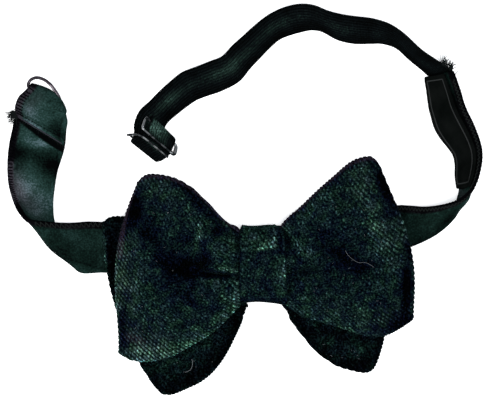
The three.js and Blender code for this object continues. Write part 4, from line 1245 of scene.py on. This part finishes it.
def on_band(s, w, lift, up=False):
    """Points at pairs (s, w), lifted off the mid surface by lift; with up, always towards the sky."""
    small, places = 0.02, line_places(BAND)
    tilt = small / BAND_WIDTH

    def at(s, w):
        """The point on the mid surface."""
        return across_lines(along_table(BAND, places, s), w)

    normal = unit(np.cross(at(s + small, w) - at(s - small, w), at(s, w + tilt) - at(s, w - tilt)))
    if up:
        normal *= np.sign(normal[:, 2:])
    return at(s, w) + normal * np.asarray(lift).reshape(-1, 1)


def zigzag(lift, first=80, pitch=1.5, near=0.02, far=0.115, lowest=0.16):
    """Path that swings from share near to share far and back over each pitch, at height lift."""
    last = BAND_LENGTH - 3
    s = np.linspace(first, last, int((last - first) / pitch) * 6 + 1)
    swing = np.abs(((s - first) / pitch * 2) % 2 - 1)
    path = sag_at_corners(on_band(s, near + (far - near) * swing, lift))
    path[:, 2] = np.maximum(path[:, 2], lowest)
    return path


new_piece("seam_zigzags", *tubes([zigzag(FACE), zigzag(-FACE)], 0.15, 6),
          thread_material("overlock_thread", (0.014, 0.017, 0.016), 0.7), "satin")


def short_stitches(runs, far, near=0.02, sunk=0.12):
    """Straight stitches across the seam edge, one at each run, sunk at both ends."""
    t = np.linspace(0, 1, 7)
    w = np.tile(near + (far - near) * t, len(runs))
    height = np.tile(FACE - sunk * (2 * t - 1) ** 2, len(runs))
    return tubes(on_band(np.repeat(runs, 7), w, height, True).reshape(len(runs), 7, 3), 0.22, 6)


hem_cord = on_band(np.full(60, 0.3), np.linspace(0.03, 0.97, 60), FACE - 0.1, True)
row_share = np.linspace(0.06, 0.94, 15)[:, None] + np.linspace(0, 0.045, 5)
tab_row = on_band(np.full(row_share.size, 2.0), row_share.ravel(), FACE - 0.04, True)
stitches = [short_stitches(np.arange(2.2, 15.0, 1.2), 0.15),
            short_stitches(np.arange(29.0, 76.0, 1.2), 0.11),
            tubes(tab_row.reshape(*row_share.shape, 3), 0.12, 6)]


def join(parts):
    """One point array and one face array from several, with the faces renumbered."""
    starts = np.cumsum([0] + [len(p) for p, f in parts[:-1]])
    return np.concatenate([p for p, f in parts]), np.concatenate([f + n for (p, f), n in zip(parts, starts)])


new_piece("band_seam_stitches", *join(stitches), SEAM_THREAD, "satin")

# %% [markdown]
# ## Frayed ends
# Raw ends of satin let go of single yarns. Each is a tapering tube on a parabola, and a
# seeded generator gives the directions, so that every run makes the same ones.

# %% Frayed yarns
rng = np.random.default_rng(11)


def strands(roots, spread, length, count, curl, radius, lowest=0.45):
    """Loose yarns: path = root + direction * t + curl * t squared, with tapering radius."""
    t = np.linspace(0, 1, 7)[None, :, None]
    pick = rng.integers(0, len(roots), count)
    start = roots[pick] + rng.normal(0, 0.25, (count, 3)) * [1, 1, 0.4]
    heading = unit(spread[0] + rng.normal(0, spread[1], (count, 3)) * [1, 1, 0.35])
    reach = length * rng.uniform(0.45, 1.0, (count, 1))
    bend = rng.normal(0, curl, (count, 3)) * [1, 1, 0.3]
    path = start[:, None] + (heading * reach)[:, None] * t + bend[:, None] * t ** 2
    path[..., 2] = np.maximum(path[..., 2], lowest)
    return tubes(path, radius * (1 - 0.6 * t[..., 0]), 4)


raw_edge = np.linspace(FOLD_BACK[0, 0:3], FOLD_BACK[0, 3:6], 60)
top_corner = np.linspace((68.2, 76.9, 12.7), (71.8, 74.6, 12.0), 8)
away = FOLD_BACK[0, 0:3] - FOLD_BACK[1, 0:3]
hem = strands(raw_edge, (away * [1, 1, 0.2], 0.5), 0.9, 90, 0.15, 0.07)
tuft_root = np.linspace(FOLD_BACK[0, 0:3], FOLD_BACK[1, 0:3], 6)
tuft = strands(tuft_root[:4], (np.array([-1.0, -0.55, 0.0]), 0.30), 4.6, 90, 0.6, 0.13)
end_tuft = strands(top_corner, (np.array([0.15, 1.0, 0.1]), 0.45), 3.4, 80, 0.6, 0.13)
stray = strands(np.array([[72.9, 73.0, 11.8]]), (np.array([0.7, 0.8, 0.1]), 0.1), 3.4, 3, 0.4, 0.08)
new_piece("hem_cord", *tubes(hem_cord[None], 0.2, 6),
          thread_material("hem_thread", (0.030, 0.027, 0.036), 0.7), "satin")
new_piece("band_frayed_yarns", *join([hem, tuft, end_tuft, stray]), FRAY_THREAD, "satin")

# %% [markdown]
# ## The label
# A small woven label lies on the inner face of the twist. Whatever was printed on such a
# label stays off this one: it has only the plain woven border that blank labels come with.
# It follows the band's own lines, moved out by half of each thickness and a thread's width.

# %% Label
LABEL_WALL, LABEL_GAP = 0.8, 0.55


def label_cloth():
    """Black satin weave with a thin paler line run round inside its edges, by the cloth's UV."""
    material, tree, shader = new_material("black_label_satin", Roughness=0.6, Specular_IOR_Level=0.0)
    threads = use_group(tree, THREADS, Pitch=0.00035, Cross=0.00035)
    uv = add(tree, "ShaderNodeUVMap", uv_map="label").outputs[0]
    split = add(tree, "ShaderNodeSeparateXYZ", {0: uv}).outputs
    u_side, v_side = (calc("ABSOLUTE", minus(split[i], 0.5)) for i in (0, 1))
    frame_line = calc("MAXIMUM", times(plus(u_side, -0.455), 4.0), plus(v_side, -0.36))
    line = calc("COMPARE", frame_line, 0.0, 0.018)
    dash = remap(threads["Weave"], 0.3, 0.6, 0.4, 1.0)
    tone = blend_colour(remap(threads["Crease"], 0.3, 0.7),
                        (0.0012, 0.0016, 0.0015, 1), (0.0030, 0.0036, 0.0034, 1))
    tone = blend_colour(times(line, dash), tone, (0.022, 0.024, 0.024, 1))
    dress(shader, tone, threads["Weave"], 0.5, 0.0001)
    return material


def make_label():
    """Lines of the band from the corner to its end, lifted along the normal that faces up."""
    places = line_places(BAND)
    first = len(BAND) - len(RIGHT_TWIST) + 7
    s = np.linspace(places[first], places[-1], int(110 * FINE))
    share = steps_with_fine_ends(int(22 * FINE), [0, 0.004, 0.012, 0.03])
    t = np.linspace(0, 1, len(s))[:, None]
    near, far = 0.06 + (0.24 - 0.06) * t, 0.97
    w = near + (far - near) * share
    middle = sag_at_corners(across_lines(along_table(BAND, places, s)[:, None], w))
    normal = grid_normals(middle)
    lift = np.sign(normal[-1, 0, 2]) * ((BAND_WALL + LABEL_WALL) / 2 + LABEL_GAP)
    grid = middle + normal * lift
    points, faces, source = shell(grid, LABEL_WALL)
    share_uv = np.stack(np.broadcast_arrays(t, share), -1).reshape(-1, 2)[source]
    piece = new_piece("label_blank", points, faces, label_cloth(), "label_satin",
                      uvs={"cloth": cloth_uv(grid, source), "label": share_uv})
    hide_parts("label")


make_label()

# %% [markdown]
# ## The elastic
# Elastic webbing is woven over rubber cords, which show as fine ribs along it. It leaves the
# band on edge, lies down along its loop, passes under the slide, round the hook, back
# under the slide's near bar and over its far one. The ribs are bump across the cloth's UV.

# %% Clasp places and elastic table
CLASP = dict(x=-42.5, y=48.5, turn=math.radians(-38.5), tip=0.25, tip_from=9, lean=0.4, slant=0.32, fan=0.1)


def clasp_point(along, out, up):
    """Along the bars, outward from the hook and up; left ends tip up, the top leans right."""
    shifted = along + CLASP["lean"] * (up - 0.6) - CLASP["slant"] * np.maximum(0, out - 0.9)
    far = out + CLASP["fan"] * (1 - along) * smoothstep(out, -1, 4.7)
    raised = CLASP["tip"] * (CLASP["tip_from"] - along) * smoothstep(up, 0.6, 3.4)
    return beside_bar(CLASP, shifted, far, up + raised)


ELASTIC_RUN = table(LINE_COLUMNS, """
74.7 65.7 11 67.3 64.6 1.2 0 0
73.9 68.7 11.1 66.7 67.3 1.2 0 0
73.3 71.8 11.5 66.3 70.2 1 0 0
71.9 74.3 11.8 65.1 72 0.9 0 0
69.7 76 12.5 63.6 73.2 0.8 0 0
66.2 78.1 13 61.4 75.2 0.7 0 0
60.2 82.2 13 56.8 79 0.6 0.3 0
53.6 88.4 12.6 51.4 83.7 0.6 0.6 0
48.1 92.4 10.5 46 85.4 0.6 1 0
41.7 94.6 8.6 41.4 85.4 0.6 1.3 0
35.6 95.4 8 35.2 85.4 0.6 1.5 0
30.3 96.2 8 29 86.8 0.6 1.5 0
24.9 97.5 8.8 22.9 90 0.6 1.3 0
19.6 99.7 7.6 18.7 90.6 0.6 1.5 0
14.3 100.3 6.2 14.4 89.7 0.6 1.6 0
8.2 99 6.2 10.2 88.5 0.6 1.6 0
2.1 96.1 6.2 6.3 86.8 0.6 1.6 0
-3.3 91.9 6.2 2.5 83.5 0.6 1.6 0
-7.5 88.1 5.8 -1.3 79.5 0.6 1.6 0
-11.7 84.4 5.2 -4.8 75.8 0.6 1.6 0
-15.5 80.4 4.4 -9 70.8 0.6 1.6 0
-20.2 78.5 3.4 -15.6 67.2 0.6 1.6 0
-25.5 76.4 3.4 -21.4 65.2 0.6 1.6 0
-30.9 74.3 3.4 -25.6 63.5 0.6 1.6 0
-35.3 70.9 3.2 -29.8 60.6 0.6 1.5 0
-40 66.7 2.2 -33.7 57.5 0.6 1.2 0
-43.6 63.1 1.4 -36 55.4 0.6 0.6 0
-46.9 60.2 0.8 -37.5 53.1 0.6 0.1 0
-48.8 56.8 0.6 -37.3 50.8 0.6 0 0
-49.6 53.3 0.6 -36.7 47.1 0.6 0 0
""")
LOOP = table("out up shift width", """
-1.8 0.55 0 14.8
-4 0.6 0.3 13.4
-4.99 1.01 0 12.8
-5.4 2 -0.1 12.6
-4.99 2.99 0 12.8
-4 3.4 0.3 13.4
-1.5 3.4 1.3 13
0.9 3.4 1.9 12
1.95 3.87 1.7 12.1
2.8 4.5 1.4 12.3
3.65 5.15 1.1 12.5
4.7 5.65 1 12.6
5.7 5.2 1 12.6
6.1 4.2 1 12.6
5.7 3.2 1 12.6
4.7 2.8 1 12.6
""")
loop_out, loop_up, loop_shift, loop_width = LOOP.T
ELASTIC_LOOP = np.column_stack([
    clasp_point(loop_shift - loop_width / 2, loop_out, loop_up),
    clasp_point(loop_shift + loop_width / 2, loop_out, loop_up), np.zeros((len(LOOP), 2)),
])
ELASTIC = np.concatenate([ELASTIC_RUN, ELASTIC_LOOP])

# %% [markdown]
# ## The elastic as cloth
# The elastic is grey along its middle and on the bend at the hook, and black at its edges:
# painted highlight on its bulge and on the raised loop, painted shade at the edges. That tone
# is worked out from the place on the strap and painted on.

# %% Elastic
ELASTIC_WALL, CLASP_TOP = 1.0, 52


def elastic_cloth():
    """Black webbing: ribs along it, a paler middle of painted highlight told by its tone, tiny cross threads.
    """
    material, tree, shader = new_material("ribbed_elastic", Roughness=0.8, Specular_IOR_Level=0.0)
    threads = use_group(tree, THREADS, Pitch=0.00105, Cross=0.0006)
    tone = wander(painted(tree, "tone"), (threads["Grain"], 0.3), (threads["Crease"], 0.6))
    hue = ramp(tone, (0.00, 0.0009, 0.0011, 0.0011), (0.30, 0.0022, 0.0032, 0.0036),
               (0.60, 0.0075, 0.0155, 0.0125), (0.85, 0.0400, 0.0800, 0.0660), (1.00, 0.0800, 0.1300, 0.1150))
    shade = remap(threads["Weave"], 0.0, 1.0, 0.2, 1.75)
    dress(shader, scale_colour(hue, shade), threads["Weave"], 0.8, 0.0003)
    return material


# Painted highlights on the elastic, and one spot of painted shade by the slide.
ELASTIC_LIGHT_SPOTS = table(FOLD_COLUMNS, """
-41.8 46.2 3.6 0.9 -38 0.9
-34.8 64.7 6 5 40 0.26
-10.6 78.9 9 5.5 45 0.3
10.2 93.9 6 4 15 0.2
-37 49.2 2 2.5 -60 -0.3
""")


def painted_elastic_light(run, across, x, y, z, width):
    """Painted highlight along the middle and painted shade at the edges; the brightest painted highlight on
    the raised loop by the hook.
    """
    middle = bell(across - 0.47 * width, 0.26 * width)
    spots = soft_hills(ELASTIC_LIGHT_SPOTS, x, y)
    on_run = y > CLASP_TOP
    patchy = 0.62 + 0.12 * np.sin(run / 9.0) * np.sin(run / 23.0 + 1) + 1.6 * np.where(on_run, spots, 0)
    # Darker towards the label end, where the elastic stands on edge: painted shade.
    patchy = patchy * (1 - 0.55 * smoothstep(x, 35, 52))
    out = from_bar(CLASP, x, y)[1]
    # Painted highlight on the elastic's turn round the slide, only where it is raised.
    turned = smoothstep(out, 0.8, 1.4) * (1 - smoothstep(out, 6.6, 7.4))
    turned *= smoothstep(across / width, 0.02, 0.07)
    turned *= 1 - 0.75 * smoothstep(across / width, 0.66, 0.86)
    loop = (0.62 * turned + np.where(on_run, 0, spots)) * smoothstep(z, 1.6, 2.6)
    return np.clip(0.06 + 0.42 * middle * patchy * (1 - smoothstep(loop, 0, 0.4)) + loop, 0, 1)


elastic_s = stations(ELASTIC, 1.0 / FINE)
elastic_grid = ribbon(ELASTIC, elastic_s, WIDE)
elastic_points, elastic_faces, elastic_source = shell(elastic_grid, ELASTIC_WALL)
elastic_uv = cloth_uv(elastic_grid, elastic_source)
line_width = np.linalg.norm(elastic_grid[:, -1] - elastic_grid[:, 0], axis=1)
line_width = np.broadcast_to(line_width[:, None], elastic_grid.shape[:2]).ravel()[elastic_source]
elastic_tone = painted_elastic_light(*elastic_uv.T / MM, *elastic_points.T, line_width)
elastic_piece = new_piece("elastic_ribbed", elastic_points, elastic_faces, elastic_cloth(),
                          "elastic", uvs={"cloth": elastic_uv}, tone=elastic_tone)
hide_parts("elastic_strap")

# %% [markdown]
# ## Bent wire
# The eye, the hook and the slide are nickel-plated wire. Each is a tube along a smooth
# path through a few bends. Slow noise changes the roughness, the bump and the colour, which
# runs between a bright and a nearly black metal as painted glints and painted dark
# reflections; each wire also gets its own brightness of the plating, as painted light and shade.

# %% Wire
def plated_wire(name, bright, dull):
    """Metal whose roughness runs with noise, and whose colour runs with the same noise between a bright and a
    dull metal: painted glints.
    """
    material, tree, shader = new_material(name, Metallic=1.0)
    wear_and_glints = noise(object_place(tree), 300.0, 4.0)
    tree.links.new(remap(wear_and_glints, 0.35, 0.7, 0.16, 0.34), shader.inputs["Roughness"])
    tone = blend_colour(remap(wear_and_glints, 0.42, 0.53), (*bright, 1), (*dull, 1))
    dress(shader, tone, wear_and_glints, 0.25, 0.0001)
    return material


# One plating at three brightnesses: painted light and shade on each wire.
CLASP_WIRE = plated_wire("clasp_wire", (0.24, 0.25, 0.25), (0.020, 0.022, 0.024))
SLIDE_WIRE = plated_wire("slide_wire", (0.13, 0.135, 0.14), (0.010, 0.012, 0.013))
EYE_WIRE = plated_wire("eye_wire_plating", (0.085, 0.072, 0.085), (0.022, 0.018, 0.022))
EYE_BENDS = table("along out", """
-7.8 0
8 0
7.9 0.5
7 1.7
5.2 3.1
3 4.5
0.4 5.4
-2 6
-5.2 6
-7.9 4.9
-9.2 2.9
-9 0.9
""")
HOOK_BENDS = table("along out up", """
6.4 -4 2
1 -4 2
-7.5 -4 2
-8.4 -4.2 2.5
-9.1 -4.4 3.3
-8.3 -3.3 4.1
-6.2 -1.8 4.7
-3.4 -1.3 4.8
7.6 -1.5 4.8
""")
SLIDE_BENDS = table("along out up", """
-6 0.9 4.8
8 0.9 4.8
8.63 1.166 4.758
8.9 1.736 4.668
8.9 3.864 4.332
8.63 4.434 4.242
8 4.7 4.2
-6 4.7 4.2
-6.63 4.434 4.242
-6.9 3.864 4.332
-6.9 1.736 4.668
-6.63 1.166 4.758
""")


def wire_piece(name, node, path, radius, closed, material):
    """One bent wire that stands for a node."""
    piece = new_piece(name, *tubes(path[None], radius, 16, closed), material, "steel_wire")
    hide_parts(node)


eye_path = smooth_path(beside_bar(EYE, *EYE_BENDS.T, EYE["lift"]), 160, True)
wire_piece("eye_wire", "eye_ring", eye_path, 0.62, True, EYE_WIRE)
hook_path = smooth_path(clasp_point(*HOOK_BENDS.T), 180)
wire_piece("hook_bent_wire", "hook_wire", hook_path, 0.43, False, CLASP_WIRE)
slide_path = smooth_path(clasp_point(*SLIDE_BENDS.T), 160, True)
along_bar = from_bar(CLASP, slide_path[:, 0], slide_path[:, 1])[0]
slide_radius = 0.5 + 0.3 * bell(along_bar - along_bar.max(), 1.6)
wire_piece("slide_wire", "adjuster_slide", slide_path, slide_radius, True, SLIDE_WIRE)

# %% [markdown]
# ## Lint
# Velvet keeps every hair. One long curl lies on the right wing, a shorter one on the left
# back wing, and short pale fibres sit all over. Each takes its height from the nearest point
# of the cloth below it, so none floats.

# %% Lint
def on_cloth(grid, xy, lift):
    """Add the height of the nearest grid point, plus half the cloth and a lift."""
    flat = grid.reshape(-1, 3)
    near = np.argmin(((flat[None, :, :2] - xy[:, None]) ** 2).sum(-1), axis=1)
    return np.column_stack([xy, flat[near, 2] + VELVET_WALL / 2 + lift])


def fibres(grid, box, count, long):
    """Short bent hairs at random places of a box on the cloth, each with its own heading."""
    middle = rng.uniform(box[0], box[1], (count, 1, 2))
    turn = rng.uniform(0, np.pi, (count, 1, 1)) + np.linspace(-0.5, 0.5, 5)[None, :, None]
    step = np.concatenate([np.cos(turn), np.sin(turn)], -1) * long * rng.uniform(0.4, 1, (count, 1, 1))
    path = (middle + np.cumsum(step, axis=1) / 5).reshape(-1, 2)
    return tubes(on_cloth(grid, path, 0.12).reshape(count, 5, 3), 0.05, 4)


long_curl = smooth_path([(31.3, 6.0), (32.6, 4.1), (34.6, 2.4), (36.6, 1.4), (38.4, 1.5), (40.3, 1.0),
                         (42.2, -0.4)], 50)
hook_curl = smooth_path([(-29.5, -40.8), (-27.5, -39.7), (-26.8, -37.3), (-27.1, -35.8)], 24)
single = [(front_grid, long_curl, 0.2, 0.055), (back_grid, hook_curl, 0.2, 0.09),
          (front_grid, np.array([(-36.2, 20.2), (-35.7, 20.6)]), 0.2, 0.14),
          (front_grid, np.array([(-11.3, 10.4), (-10.9, 11.0)]), 0.3, 0.2)]
many = [(front_grid, ((-50, -28), (-12, 26)), 22, 1.1), (front_grid, ((14, -20), (46, 24)), 26, 1.1),
        (back_grid, ((-36, -42), (-18, -34)), 7, 1.3), (back_grid, ((20, -36), (38, -30)), 7, 1.3)]
hairs = [tubes(on_cloth(grid, path, lift)[None], radius, 6) for grid, path, lift, radius in single]
hairs += [fibres(*group) for group in many]
new_piece("lint_hairs", *join(hairs), thread_material("pale_lint", (0.13, 0.14, 0.15), 0.9), "velvet")
